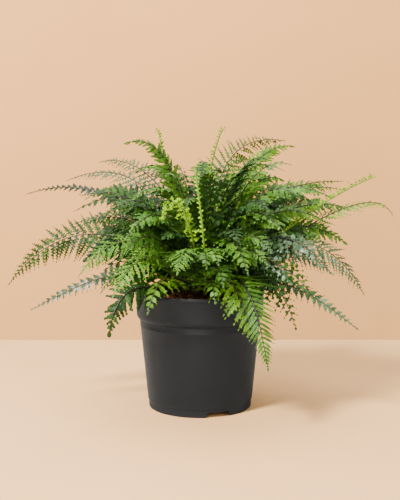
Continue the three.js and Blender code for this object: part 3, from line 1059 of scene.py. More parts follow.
class Stalks(Enum):
    """The kinds of stalk on the plant."""

    DARK = StalkFinish(
        "dark_stalk",
        foot=(0.012, 0.008, 0.006), middle=(0.018, 0.012, 0.008), tip=(0.02, 0.03, 0.008),
    )
    BROWN = StalkFinish(
        "brown_stalk",
        foot=(0.04, 0.02, 0.01), middle=(0.06, 0.036, 0.016), tip=(0.03, 0.05, 0.012),
    )
    GREEN = StalkFinish(
        "green_stalk",
        foot=(0.06, 0.06, 0.018), middle=(0.1, 0.15, 0.025), tip=(0.06, 0.14, 0.015),
    )
    LIME = StalkFinish(
        "lime_stalk",
        foot=(0.04, 0.03, 0.01), middle=(0.15, 0.25, 0.012), tip=(0.15, 0.29, 0.012),
    )


PLASTIC = PlasticFinish(
    "pot_plastic",
    deep=(0.0062, 0.0066, 0.0078),
    worn=(0.012, 0.0126, 0.0144),
    dust=(0.05, 0.046, 0.042),
)
# painted light: the mix's colours are lightened well past its own, to stand in for the light that
# the fronds keep off it
MIX_WITH_PAINTED_LIGHT = EarthFinish(
    "bark_and_coir", dark=(0.08, 0.025, 0.011), middle=(0.4, 0.14, 0.052), light=(0.85, 0.4, 0.18)
)
CHAFF = EarthFinish(
    "crown_scales", dark=(0.02, 0.01, 0.005), middle=(0.09, 0.045, 0.02), light=(0.26, 0.15, 0.07)
)
FLOOR = StageFinish("pale_floor", pale=(1.0, 0.59, 0.26), shade=(0.96, 0.53, 0.21))
WALL = StageFinish("pale_wall", pale=(0.89, 0.45, 0.15), shade=(0.83, 0.4, 0.127), one_sided=True)


# ---- pot ----


@dataclass
class NurseryPot:
    """The pot: a tapered body under a deep collar with a rolled lip, on a notched foot ring.

    Millimetres and degrees.
    """

    height: float = 172
    lip_radius: float = 95
    lip_height: float = 6
    band_radius: float = 93.6
    band_bottom: float = 130.5
    body_top: float = 89
    body_bottom: float = 77.6
    foot_radius: float = 75.9
    foot_height: float = 10
    foot_step: float = 3  # how far over the foot ring the body starts
    body_rings: tuple[float, ...] = (40, 70, 100)
    line_drop: float = 9  # how far under the collar a fine raised line runs round
    line_relief: float = 0.4
    wall: float = 2
    lip_roll: float = 0.6  # how far the wall thickens into the lip
    floor_lift: float = 8
    floor_thickness: float = 2.4
    sides: int = 144
    notches: tuple[float, ...] = (-70, 50, 170)
    notch_width: float = 31
    notch_flare: float = 3
    notch_height: float = 7.5
    notch_depth: float = 30
    notch_rounding: float = 1.2
    drain_radius: float = 6
    drain_from_axis: float = 56

    @property
    def floor_top(self) -> float:
        """The height of the floor's upper face."""
        return self.floor_lift + self.floor_thickness

    @property
    def under_lip(self) -> float:
        """The height at which the lip starts."""
        return self.height - self.lip_height

    @property
    def line_height(self) -> float:
        """The height of the fine line."""
        return self.band_bottom - self.line_drop

    def inner_radius(self, height: float) -> float:
        """The radius inside the wall at a height."""
        radii = (self.body_bottom - self.wall, self.band_radius - self.wall - self.lip_roll)
        return float(np.interp(height, (self.floor_top, self.height), radii))

    def body_radius(self, height: float) -> float:
        """The radius of the tapered body at a height."""
        heights = (self.foot_height + self.foot_step, self.band_bottom)
        return float(np.interp(height, heights, (self.body_bottom, self.body_top)))

    def foot_rings(self) -> list[RowPoint]:
        """Shapes the foot.

        Returns:
            Its rings, from the floor's underside down and round.
        """
        foot, inside = self.foot_radius, self.foot_radius - self.wall
        return [
            (inside - 3, self.floor_lift),
            (inside - 2.1, 0.5),
            (inside - 1.6, 0),
            (foot - 0.6, 0),
            (foot, 0.6),
            (foot + 0.4, self.foot_height),
            (foot + 0.7, self.foot_height + 1),
            (self.body_bottom - 0.2, self.foot_height + 2.1),
            (self.body_bottom, self.foot_height + self.foot_step),
        ]

    def body_and_line_rings(self) -> list[RowPoint]:
        """Shapes the tapered body and the fine line near its top.

        Returns:
            Their rings.
        """
        line, relief = self.line_height, self.line_relief
        return [
            *((self.body_radius(height), height) for height in self.body_rings),
            (self.body_radius(line - 1), line - 1),
            (self.body_radius(line) + relief, line - 0.3),
            (self.body_radius(line) + relief, line + 0.3),
            (self.body_radius(line + 1), line + 1),
            (self.body_top, self.band_bottom),
        ]

    def collar_rings(self) -> list[RowPoint]:
        """Shapes the collar, which swells out over the body.

        Returns:
            Its rings, up to the lip.
        """
        band, bottom = self.band_radius, self.band_bottom
        return [
            (self.body_top + 1, bottom + 0.5),
            (band - 1.7, bottom + 2.6),
            (band - 0.7, bottom + 4.6),
            (band - 0.15, bottom + 7),
            (band, bottom + 9.5),
            (band + 0.3, self.under_lip - 0.4),
            (band + 0.5, self.under_lip),
        ]

    def lip_rings(self) -> list[RowPoint]:
        """Shapes the rolled lip.

        Returns:
            Its rings, over its top and a little way down inside.
        """
        lip, top, inner = self.lip_radius, self.height, self.inner_radius(self.height)
        return [
            (lip - 0.3, self.under_lip + 0.7),
            (lip, self.under_lip + 1.5),
            (lip, top - 1.6),
            (lip - 0.4, top - 0.6),
            (lip - 1.3, top),
            (inner + 1.2, top),
            (inner + 0.3, top - 0.5),
            (inner, top - 1.6),
        ]

    def inside_rings(self) -> list[RowPoint]:
        """Shapes the inner wall.

        Returns:
            Its rings, down to the rounded edge of the floor.
        """
        low = self.inner_radius(self.floor_top)
        return [
            (self.inner_radius(90), 90),
            (low + 0.4, self.floor_top + 1.2),
            (low - 1, self.floor_top),
        ]

    def profile(self) -> list[RowPoint]:
        """Radius and height of each ring, from the floor's underside out, up and in again."""
        outside = self.foot_rings() + self.body_and_line_rings() + self.collar_rings()
        return outside + self.lip_rings() + self.inside_rings()

    def cut_notch(self, obj: Object, azimuth: float) -> None:
        """Cuts a flared gap with rounded corners through the foot ring.

        Args:
            obj: the pot.
            azimuth: the side that the gap is on.
        """
        deselect()
        bpy.ops.mesh.primitive_cube_add(size=1)
        cutter = bpy.context.object
        depth, width, height = (
            size * MM for size in (self.notch_depth, self.notch_width, self.notch_height)
        )
        editing(cutter)
        bpy.ops.mesh.select_all(action="SELECT")
        bpy.ops.transform.resize(value=(depth, width, height), center_override=(0, 0, 0))
        bpy.ops.transform.translate(value=(0, 0, height / 2))
        choose(cutter, lambda place: place.z < height / 2)
        wide = 1 + 2 * self.notch_flare / self.notch_width
        bpy.ops.transform.resize(value=(1, wide, 1), center_override=(0, 0, 0))
        bpy.ops.transform.translate(value=(0, 0, -1 * MM))
        choose_edges(
            cutter,
            lambda first, second: min(first.z, second.z) > height / 2
            and abs(first.x - second.x) > depth / 2,
        )
        bpy.ops.mesh.bevel(offset=self.notch_rounding * MM, segments=3, affect="EDGES")
        done_editing()
        cutter.location = centred_circle(azimuth, (self.foot_radius - 5) * MM, 0)
        cutter.rotation_euler = (0, 0, math.radians(azimuth))
        apply_place(cutter)
        cut(obj, cutter)

    def cut_drain(self, obj: Object, azimuth: float) -> None:
        """Cuts a round hole through the floor.

        Args:
            obj: the pot.
            azimuth: the side that the hole is on.
        """
        place = centred_circle(azimuth, self.drain_from_axis * MM, self.floor_top * MM)
        deselect()
        bpy.ops.mesh.primitive_cylinder_add(
            vertices=32, radius=self.drain_radius * MM, depth=12 * MM, location=place
        )
        cutter = bpy.context.object
        apply_place(cutter)
        cut(obj, cutter)

    def build(self) -> Object:
        """Builds and dresses the pot, which stands for the plain one.

        Returns:
            The pot.
        """
        obj = turned("nursery_pot", self.profile(), self.sides)
        for azimuth in self.notches:
            self.cut_notch(obj, azimuth)
            self.cut_drain(obj, azimuth)
        dress(obj, PLASTIC.material(), 40)
        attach(obj, "root")
        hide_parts("pot")
        return obj


# ---- growing mix and crown ----


def scattered(random: Random, count: int, inside: float, outside: float) -> np.ndarray:
    """Scatters points evenly between two circles round the axis.

    Args:
        random: where they are drawn from.
        count: how many there are.
        inside: the radius of the smaller circle.
        outside: the radius of the larger one.

    Returns:
        The points, at height 0.
    """
    radius = np.sqrt(random.uniform(inside**2, outside**2, count))
    azimuth = random.uniform(0, 2 * math.pi, count)
    return np.stack((radius * np.cos(azimuth), radius * np.sin(azimuth), np.zeros(count)), axis=1)


def heading(azimuth: np.ndarray, pitch: np.ndarray) -> tuple[np.ndarray, np.ndarray]:
    """Directions that point round about and up.

    Args:
        azimuth: the way each one looks, in radians.
        pitch: how far each one rises, in radians.

    Returns:
        The directions, and for each the direction square to it that looks most upward.
    """
    level = np.stack((np.cos(azimuth), np.sin(azimuth), np.zeros_like(azimuth)), axis=1)
    along = level * np.cos(pitch)[:, None] + UP * np.sin(pitch)[:, None]
    up = UP * np.cos(pitch)[:, None] - level * np.sin(pitch)[:, None]
    return along, up


@dataclass
class GrowingMix:
    """The mix that fills the pot: a lumpy bed, with chips of bark and coir fibres on it.

    Millimetres. Each pair is a lowest and a highest value, or a mean and a spread.
    """

    pot: NurseryPot
    edge_height: float = 160
    middle_height: float = 164
    rings: int = 26
    sides: int = 96
    lump_size: float = 9
    lump_height: float = 4.5
    bed_tint: float = 0.3
    seed: int = 7
    chips: int = 2300
    fibres: int = 1100
    clear_radius: float = 30  # the crown hides what lies further in
    lift: tuple[float, float] = (0.2, 2.2)
    pitch: tuple[float, float] = (0.05, 0.35)  # in radians
    bend: tuple[float, float] = (-0.2, 0.9)  # in radians
    least_length: float = 1.5

    def height(self, radius: np.ndarray | float) -> np.ndarray | float:
        """The height of the bed at a distance from the axis."""
        edge = self.pot.inner_radius(self.edge_height)
        return np.interp(radius, (0, edge), (self.middle_height, self.edge_height))

    def bed(self, material: Material) -> Object:
        """Turns the bed and raises lumps on its surface.

        Args:
            material: the mix's material.

        Returns:
            The new object.
        """
        edge = self.pot.inner_radius(self.edge_height) - 0.3
        floor = self.pot.floor_top + 0.3
        profile = [(self.pot.inner_radius(floor) - 1.6, floor), (edge, self.edge_height - 3)]
        profile += [(radius, self.height(radius)) for radius in np.linspace(edge, 3, self.rings)]
        obj = turned("growing_mix_bed", profile, self.sides)
        lumps(obj, self.lump_size * MM, self.lump_height * MM, (self.edge_height - 0.5) * MM)
        paint(obj.data, TINT, np.full(len(obj.data.polygons), self.bed_tint))
        dress(obj, material, 60)
        return obj

    def strewn(self, count: int, chunky: bool, random: Random) -> Placing:
        """Strews chips, which are chunky and nearly straight, or thin curved fibres.

        Args:
            count: how many are strewn.
            chunky: whether they are chips.
            random: where they are drawn from.

        Returns:
            Those that end inside the pot.
        """
        edge = self.pot.inner_radius(self.edge_height) - 3
        roots = scattered(random, count, self.clear_radius, edge)
        radius = np.linalg.norm(roots[:, :2], axis=1)
        roots[:, 2] = self.height(radius) + random.uniform(*self.lift, count)
        pitch = random.normal(*self.pitch, count)
        along, up = heading(random.uniform(0, 2 * math.pi, count), pitch)
        length = random.gamma(4.0, 1.0, count) * (1 if chunky else 2) + self.least_length
        if chunky:
            width = length * random.uniform(0.5, 1.0, count)
            depth = length * random.uniform(0.6, 1.1, count)
        else:
            width = depth = random.uniform(0.12, 0.3, count)
        sizes = np.stack((length, width, depth), axis=1)
        bends = random.normal(*self.bend, count) * (0.2 if chunky else 1.0)
        tints = random.beta(2.0, 2.4, count) * 0.9 + (0.0 if chunky else 0.1)
        placing = Placing(roots * MM, along, up, sizes * MM, bends, tints)
        ends = placing.roots + placing.along * placing.sizes[:, :1]
        return placing.chosen(np.linalg.norm(ends[:, :2], axis=1) < (edge + 2) * MM)

    def litter(self, book: PatternBook, material: Material) -> Object:
        """Covers the bed with chips and fibres.

        Args:
            book: the patterns of both.
            material: the mix's material.

        Returns:
            The new object.
        """
        random = np.random.default_rng(self.seed)
        sheaf = Sheaf()
        sheaf.lay(book.chip, self.strewn(self.chips, True, random), 0)
        sheaf.lay(book.fibre, self.strewn(self.fibres, False, random), 0)
        return sheaf.build("growing_mix_litter", [material])

    def build(self, book: PatternBook) -> list[Object]:
        """Builds and dresses the mix, which stands for the plain one.

        Args:
            book: the patterns.

        Returns:
            The bed and what lies on it.
        """
        material = MIX_WITH_PAINTED_LIGHT.material()
        pieces = [self.bed(material), self.litter(book, material)]
        for piece in pieces:
            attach(piece, "root")
            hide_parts("growing_mix")
        return pieces


@dataclass
class Crown:
    """The crown: the short rootstock that every stalk grows from, under its brown scales.

    Millimetres. Each pair is a lowest and a highest value, or a mean and a spread.
    """

    radius: float = 47
    top: float = 173
    edge: float = 161
    bottom: float = 146
    rings: int = 14
    sides: int = 48
    bump_size: float = 6
    bump_height: float = 3
    core_tint: float = 0.25
    seed: int = 11
    scales: int = 2400
    scale_length: tuple[float, float] = (5, 12)
    scale_width: tuple[float, float] = (1.4, 3.0)
    scale_depth: float = 1.6
    scale_pitch: tuple[float, float] = (0.4, 1.35)  # in radians
    scale_bend: tuple[float, float] = (-0.5, 0.6)  # in radians
    scale_stray: float = 0.7  # how far a scale looks off the way out, in radians

    def height(self, radius: np.ndarray | float) -> np.ndarray | float:
        """The height of the crown at a distance from the axis."""
        return self.top - (self.top - self.edge) * (radius / self.radius) ** 2

    def core(self, material: Material) -> Object:
        """Turns the dome under the scales and raises bumps on it.

        Args:
            material: the crown's material.

        Returns:
            The new object.
        """
        profile = [(self.radius * 0.7, self.bottom), (self.radius - 0.5, self.edge - 2)]
        radii = np.linspace(self.radius, 3, self.rings)
        profile += [(radius, self.height(radius)) for radius in radii]
        obj = turned("crown_core", profile, self.sides)
        lumps(obj, self.bump_size * MM, self.bump_height * MM, (self.edge - 0.5) * MM)
        paint(obj.data, TINT, np.full(len(obj.data.polygons), self.core_tint))
        dress(obj, material, 60)
        return obj

    def coat(self, book: PatternBook, material: Material) -> Object:
        """Covers the dome with scales that look up and out.

        Args:
            book: the patterns.
            material: the crown's material.

        Returns:
            The new object.
        """
        random = np.random.default_rng(self.seed)
        count = self.scales
        roots = scattered(random, count, 0, self.radius)
        roots[:, 2] = self.height(np.linalg.norm(roots[:, :2], axis=1)) - 1
        outward = np.arctan2(roots[:, 1], roots[:, 0]) + random.normal(0, self.scale_stray, count)
        along, up = heading(outward, random.uniform(*self.scale_pitch, count))
        length = random.uniform(*self.scale_length, count)
        width = random.uniform(*self.scale_width, count)
        sizes = np.stack((length, width, np.full(count, self.scale_depth)), axis=1)
        tints = random.beta(2, 2, count)
        bends = random.normal(*self.scale_bend, count)
        sheaf = Sheaf()
        sheaf.lay(book.scale, Placing(roots * MM, along, up, sizes * MM, bends, tints), 0)
        return sheaf.build("crown_scales", [material])

    def build(self, book: PatternBook) -> list[Object]:
        """Builds and dresses the crown, which stands for the plain one.

        Args:
            book: the patterns.

        Returns:
            The dome and its scales.
        """
        material = CHAFF.material()
        pieces = [self.core(material), self.coat(book, material)]
        for piece in pieces:
            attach(piece, "root")
            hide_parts("crown")
        return pieces


# ---- fronds ----


@dataclass(frozen=True)
class Habit:
    """How the side leaves of a frond stand, and how their leaflets do. Millimetres, degrees."""

    form: Form
    spacing: float  # from one pair of side leaves to the next
    leaflet_spacing: float
    leaflet_length: float
    leaflet_width: float  # as a share of the leaflet's length
    lean: float  # of the first side leaves, off the way that the stalk runs
    sweep: float = 16  # how much less the last side leaves lean
    leaflet_lean: float = 56
    fold: float = 4  # how far the side leaves stand up from the frond's face
    droop: float = 0.32  # how far a side leaf turns down over its length, in radians
    cup: float = -0.25  # the same for a leaflet
    bare: float = 0.16  # how much of the stalk carries no side leaves, as a share
    scatter: float = 1.0  # how uneven it all is
    web: float = 0.0  # how wide the blade is that joins the leaflets along their rib
    web_form: Form = Form.NARROW
    taper: float = 0.8  # how straight the blade narrows to its tip: 1 is a straight line


OPEN = Habit(Form.NARROW, 9.0, 3.7, 7.2, 0.6, 68, leaflet_lean=52, fold=-4, web=3.2)
FULL = Habit(
    Form.TOOTHED, 9.2, 3.7, 5.8, 0.62, 64, leaflet_lean=42, fold=-8, web=3.8, scatter=1.35
)
LACED = Habit(Form.TOOTHED, 10.0, 3.6, 6.0, 0.72, 66, leaflet_lean=40, fold=-8, web=4.2)
SLIM = Habit(Form.NARROW, 7.0, 3.2, 4.0, 0.64, 60, leaflet_lean=36, fold=-8, web=4.2)
FEATHER = Habit(
    Form.NARROW, 8.0, 3.4, 5.8, 0.52, 58, leaflet_lean=34, droop=0.4, fold=-10, web=2.8,
    scatter=1.35,
)
LOBED = Habit(
    Form.BROAD, 12.0, 5.8, 9.8, 0.6, 62, leaflet_lean=46, droop=0.28, fold=-8, web=6.5,
    scatter=1.35,
)
GLOSSY = Habit(Form.ROUND, 12.0, 6.2, 8.4, 0.82, 68, fold=-12, scatter=1.7, web=2.4)
RIBBON = Habit(
    Form.BROAD, 9.6, 7.0, 8.0, 1.0, 74, sweep=22, fold=4, droop=0.5, web=9.0,
    web_form=Form.WEDGE, taper=0.55,
)
AIRY = Habit(
    Form.ROUND, 9.4, 3.9, 4.4, 0.84, 60, leaflet_lean=58, droop=0.2, fold=-12, web=2.4, scatter=1.2
)
BUDDING = Habit(
    Form.ROUND, 6.0, 4.2, 5.4, 0.78, 62, droop=-2.2, cup=1.2, bare=0.3, scatter=1.8, taper=0.12
)
CURLY = Habit(
    Form.ROUND, 5.6, 2.8, 3.8, 0.72, 76, droop=-3.6, cup=1.0, bare=0.46, scatter=3, taper=0.6
)


@dataclass(frozen=True)
class Frond:
    """One frond: its node, its looks, and the line and width that it has in the plain model.

    Millimetres and degrees. A place on its line is a radius from the axis and a height.
    """

    node: str
    habit: Habit
    leaf: Leaves
    stalk: Stalks
    tint: float  # from 0, dark, to 1, light
    azimuth: float
    start: float  # the radius at which it leaves the crown
    rise: RowPoint
    brow: RowPoint
    tip: RowPoint
    half: float  # the length of its longest side leaves
    roll: float = 0  # how far its face turns about the stalk
    sway: float = 0  # how far its tip is aside of its plane
    curl: float = 0  # the radius of the hook at a young frond's tip


def group(place: str, **rows: tuple) -> list[Frond]:
    """The fronds of one place: each row is what follows the node in a frond."""
    return [Frond(f"{place}_{name}", *row) for name, row in rows.items()]


def numbered(place: str, *rows: tuple) -> list[Frond]:
    """The same for fronds that go by a number."""
    return [Frond(f"{place}_{number}", *row) for number, row in enumerate(rows)]


DEEP, GREEN, BRIGHT, BLOOM = Leaves.DEEP, Leaves.GREEN, Leaves.BRIGHT, Leaves.BLOOM
DUSKY, LIME = Leaves.DUSKY, Leaves.LIME
BLACK, BROWN, FRESH, PALE = Stalks.DARK, Stalks.BROWN, Stalks.GREEN, Stalks.LIME

FRONDS = [
    *group(
        "frond_left",
        long=(OPEN, GREEN, BLACK, 0.02, 180, 34, (89, 276), (208, 288), (285, 176), 54, -56),
        low=(RIBBON, BLOOM, BROWN, 0.18, 190, 41, (102, 226), (172, 186), (247, 148), 18, -46),
        hanging=(LACED, GREEN, BLACK, -0.05, 222, 41, (113, 203), (157, 189), (166, 122), 38, -46),
        high=(RIBBON, DUSKY, BLACK, 0.02, 165, 22, (70, 313), (184, 342), (280, 310), 17, -40),
        upper=(AIRY, DUSKY, BLACK, 0.95, 150, 20, (61, 376), (183, 353), (250, 330), 36, -34),
        back=(AIRY, DUSKY, BLACK, 0.9, 134, 26, (34, 366), (200, 372), (243, 360), 44, -44),
        middle=(FEATHER, BLOOM, BROWN, 0.15, 173, 33, (76, 308), (131, 286), (190, 268), 48, -52),
        crest=(LACED, BRIGHT, BLACK, 0.15, 185, 9, (22, 350), (58, 408), (112, 385), 38, -50),
    ),
    *group(
        "frond_right",
        crest=(AIRY, GREEN, BLACK, 0.2, 50, 9, (20, 378), (90, 402), (222, 396), 50, 46),
        shoulder=(FULL, BRIGHT, BROWN, 0.28, 22, 18, (40, 325), (92, 392), (158, 384), 46, 40),
        high=(FEATHER, GREEN, BROWN, 0.3, 8, 26, (42, 330), (170, 332), (217, 331), 44, 42),
        far=(AIRY, GREEN, BLACK, 0.6, -5, 34, (79, 218), (250, 352), (279, 281), 40, 30),
        broad=(FEATHER, BLOOM, BROWN, 0.45, -16, 40, (56, 246), (176, 298), (240, 172), 52, 46),
        low=(RIBBON, BLOOM, BROWN, 0.5, -27, 41, (113, 214), (169, 184), (241, 132), 17, 48),
        hanging=(SLIM, GREEN, BLACK, 0.45, -62, 41, (100, 224), (152, 210), (188, 88), 46, 26),
        dark=(GLOSSY, DEEP, BLACK, 0.5, -40, 38, (85, 226), (142, 212), (170, 132), 42, 30),
        middle=(GLOSSY, BLOOM, BLACK, 0.5, -33, 34, (78, 262), (150, 286), (210, 208), 48, 34),
    ),
    *group(
        "frond_front",
        apron=(LOBED, BRIGHT, BROWN, 0.35, -78, 41, (80, 224), (132, 226), (158, 122), 54, 0, 40),
        lobed=(LOBED, BRIGHT, BROWN, 0.3, -117, 41, (80, 214), (128, 212), (153, 158), 36, -12),
        middle=(FEATHER, GREEN, FRESH, 0.5, -98, 36, (76, 250), (140, 266), (206, 218), 54),
        feather=(FEATHER, GREEN, FRESH, 0.65, -127, 36, (78, 246), (140, 250), (190, 182), 54, -20),
        left=(FEATHER, GREEN, FRESH, 0.6, -147, 34, (76, 262), (138, 276), (196, 204), 52, -30),
        right=(LOBED, GREEN, BLACK, 0.5, -70, 33, (66, 266), (124, 286), (180, 214), 50),
    ),
    *group(
        "frond_inner",
        left=(FULL, GREEN, BLACK, 0.4, -124, 26, (54, 286), (108, 318), (172, 258), 36, -30),
        right=(GLOSSY, GREEN, BLACK, 0.4, -52, 28, (62, 296), (120, 318), (184, 262), 48),
        front=(FULL, GREEN, BLACK, 0.4, -100, 19, (30, 300), (64, 334), (112, 296), 40),
    ),
    *group(
        "frond_west",
        shoulder=(LOBED, DEEP, BLACK, 0.35, -157, 24, (52, 300), (108, 338), (190, 290), 48, -16),
    ),
    *group(
        "frond_east",
        shoulder=(FULL, GREEN, BLACK, 0.5, -22, 22, (52, 306), (112, 350), (196, 310), 48, 20),
    ),
    *group(
        "frond_top",
        left=(FULL, GREEN, BLACK, 0.5, -138, 12, (26, 318), (62, 350), (128, 306), 42),
        right=(GLOSSY, GREEN, BLACK, 0.6, -34, 12, (26, 330), (66, 380), (140, 346), 42),
        front=(FULL, GREEN, BLACK, 0.55, -78, 10, (18, 322), (46, 366), (108, 338), 30),
        back=(FULL, GREEN, BLACK, 0.5, 138, 12, (22, 330), (62, 380), (138, 344), 40),
    ),
    *group(
        "frond_back",
        high=(FULL, GREEN, BLACK, 0.5, 88, 16, (38, 330), (104, 380), (186, 352), 46),
        crest=(FEATHER, GREEN, BROWN, 0.55, 112, 20, (40, 320), (116, 372), (206, 330), 46),
        shoulder=(FULL, GREEN, BROWN, 0.6, 66, 22, (48, 310), (126, 352), (220, 306), 46),
        right=(FEATHER, GREEN, BROWN, 0.45, 28, 40, (88, 262), (172, 282), (242, 218), 48, 14),
        low_right=(LOBED, GREEN, BROWN, 0.5, 58, 38, (82, 252), (160, 268), (222, 192), 48),
        low=(FULL, BRIGHT, BROWN, 0.2, 92, 38, (80, 258), (164, 276), (206, 196), 48),
        low_left=(FEATHER, GREEN, BROWN, 0.5, 122, 38, (82, 250), (160, 266), (222, 190), 48),
        left=(OPEN, DEEP, BROWN, 0.55, 150, 38, (86, 258), (164, 280), (238, 220), 48, -14),
        hanging=(LOBED, BRIGHT, BROWN, 0.3, 106, 41, (100, 222), (150, 206), (178, 120), 42),
    ),
    *group(
        "shoot",
        left=(BUDDING, LIME, PALE, -0.15, 165, 14, (30, 250), (48, 330), (63, 404), 7, 0, 0, 4),
        right=(BUDDING, LIME, PALE, -0.1, 20, 8, (4, 260), (8, 345), (34, 406), 8, 0, 0, 4),
        far_right=(
            BUDDING, LIME, PALE, 0.0, -10, 30, (85, 220), (137, 287), (245, 337), 12, 0, 0, 4
        ),
    ),
    *group(
        "young_frond",
        curled=(CURLY, LIME, PALE, 0.6, -91, 36, (105, 250), (126, 340), (118, 292), 27, 0, -45, 9),
        upright=(
            BUDDING, LIME, PALE, 0.35, -84, 36, (125, 189), (114, 280), (105, 345), 5.5, 0, -17, 4
        ),
    ),
]


@dataclass(frozen=True)
class Tier:
    """One ring of the shorter fronds that fill the plant between the ones of the plain model.

    Millimetres and degrees. Each pair below the fields is a lowest and a highest value.
    """

    count: int
    turn: float  # where the first one looks
    start: float
    brow: RowPoint
    tip: RowPoint
    half: float
    opening: tuple[float, float] = (0, 0)  # no frond looks between these

    looks = (
        (FULL, GREEN, BLACK, 0.45),
        (LOBED, DEEP, BLACK, 0.6),
        (FEATHER, GREEN, BROWN, 0.45),
        (GLOSSY, DEEP, BLACK, 0.5),
        (FULL, DEEP, BLACK, 0.6),
        (LOBED, GREEN, BROWN, 0.4),
    )
    stray = (-6, 6)
    reach = (0.9, 1.08)
    lift = (-12, 12)
    tip_lift = 1.4  # how much more than the brow a tip is lifted
    side_roll = 50  # how far a frond at the plant's side is turned to the front
    roll = (-14, 14)
    tint = (-0.2, 0.16)
    # painted shade: fronds on the plant's left side are drawn darker than those in the middle
    painted_left_shade = 0.25  # how much darker the left side is than the middle
    width = (0.88, 1.1)

    def fronds(self, number: int, random: Random) -> list[Frond]:
        """Spreads the tier's fronds round the plant.

        Args:
            number: the number of the tier, which names its fronds.
            random: where their unevenness comes from.

        Returns:
            The fronds.
        """
        fronds = []
        for index in range(self.count):
            azimuth = self.turn + 360 * index / self.count + random.uniform(*self.stray)
            reach = random.uniform(*self.reach)
            lift = random.uniform(*self.lift)
            brow = (self.brow[0] * reach, self.brow[1] + lift)
            tip = (self.tip[0] * reach, self.tip[1] + self.tip_lift * lift)
            rise = (0.4 * self.brow[0] * reach, 0.45 * (170 + brow[1]) + 14)
            habit, leaf, stalk, tint = self.looks[(index + 2 * number) % len(self.looks)]
            if self.opening[0] < azimuth % 360 < self.opening[1]:
                continue
            rightward = math.cos(math.radians(azimuth))
            roll = self.side_roll * rightward + random.uniform(*self.roll)
            tint += random.uniform(*self.tint) + self.painted_left_shade * min(0, rightward)
            half = self.half * random.uniform(*self.width)
            node = f"undergrowth_{number}_{index:02d}"
            line = (azimuth, self.start, rise, brow, tip, half, roll)
            fronds.append(Frond(node, habit, leaf, stalk, tint, *line))
        return fronds


TIER_SEED = 23
TIERS = (
    Tier(15, 8, 40, (118, 236), (150, 178), 40, (222, 283)),
    Tier(15, 20, 32, (118, 292), (172, 236), 46, (246, 284)),
    Tier(14, 0, 24, (100, 345), (160, 296), 46, (236, 292)),
    Tier(12, 15, 15, (72, 374), (132, 346), 46, (125, 235)),
    Tier(7, 30, 8, (40, 390), (92, 356), 42, (120, 300)),
)

FILLING = [
    *numbered(
        "undergrowth_front",
        (FEATHER, GREEN, BROWN, 0.65, -120, 34, (60, 240), (112, 272), (158, 228), 46, -44, -14),
        (FEATHER, GREEN, BLACK, 0.5, -64, 34, (60, 236), (118, 266), (168, 224), 46, 38, 16),
        (LOBED, GREEN, BLACK, 0.5, -86, 34, (56, 236), (104, 266), (170, 226), 46, 8, 12),
        (FULL, DEEP, BLACK, 0.5, -104, 30, (40, 240), (72, 280), (112, 256), 44, -20, -24),
        (LOBED, DEEP, BLACK, 0.7, -74, 38, (54, 216), (92, 250), (132, 228), 42, 22),
        (FEATHER, GREEN, BROWN, 0.5, -100, 38, (54, 220), (92, 256), (130, 232), 42, -14),
        (FULL, GREEN, BLACK, 0.55, -58, 38, (56, 220), (98, 250), (140, 222), 44, 34),
        (LOBED, DEEP, BLACK, 0.75, -79, 40, (62, 214), (112, 244), (160, 196), 40, 12, 8),
        (LOBED, GREEN, BLACK, 0.3, -86, 38, (66, 236), (136, 262), (176, 222), 46, -6, -4),
        (FEATHER, DEEP, BLACK, 0.8, -96, 40, (70, 226), (138, 260), (168, 228), 44, -10),
        (LOBED, GREEN, BLACK, 0.35, -80, 40, (72, 218), (146, 240), (172, 198), 44, 10),
        (LOBED, GREEN, BLACK, 0.45, -83, 41, (84, 206), (136, 214), (160, 176), 34, 6),
    ),
    *numbered(
        "undergrowth_right",
        (FEATHER, DEEP, BLACK, 0.65, 2, 30, (60, 262), (120, 322), (196, 292), 46, 48),
        (AIRY, GREEN, BLACK, 0.6, 12, 26, (56, 280), (110, 342), (190, 322), 48, 44),
        (FULL, GREEN, BLACK, 0.55, -14, 30, (60, 270), (112, 316), (180, 276), 46, 44),
        (FEATHER, BLOOM, BLACK, 0.5, -27, 36, (60, 244), (130, 268), (206, 204), 50, 48),
        (FULL, GREEN, BLACK, 0.5, -6, 34, (60, 256), (136, 300), (216, 240), 46, 48),
        (GLOSSY, BLOOM, BLACK, 0.55, -47, 36, (70, 236), (128, 254), (178, 196), 44, 34),
        (GLOSSY, DEEP, BLACK, 0.75, -36, 38, (78, 230), (142, 240), (192, 172), 44, 40),
        (FEATHER, GREEN, BROWN, 0.3, 5, 28, (60, 290), (150, 338), (212, 318), 44, 44),
        (FULL, GREEN, BLACK, 0.35, -3, 30, (70, 280), (150, 318), (220, 290), 46, 46),
    ),
    *numbered(
        "undergrowth_left",
        (FEATHER, DEEP, BLACK, 0.4, 178, 26, (56, 280), (104, 330), (176, 310), 46, -46),
        (FEATHER, GREEN, BLACK, 0.2, 196, 30, (60, 262), (112, 306), (176, 268), 46, -46),
    ),
]


def undergrowth() -> list[Frond]:
    """The fronds that fill the front and the sides, and every frond of every tier."""
    random = np.random.default_rng(TIER_SEED)
    return sum((tier.fronds(number, random) for number, tier in enumerate(TIERS)), start=FILLING)


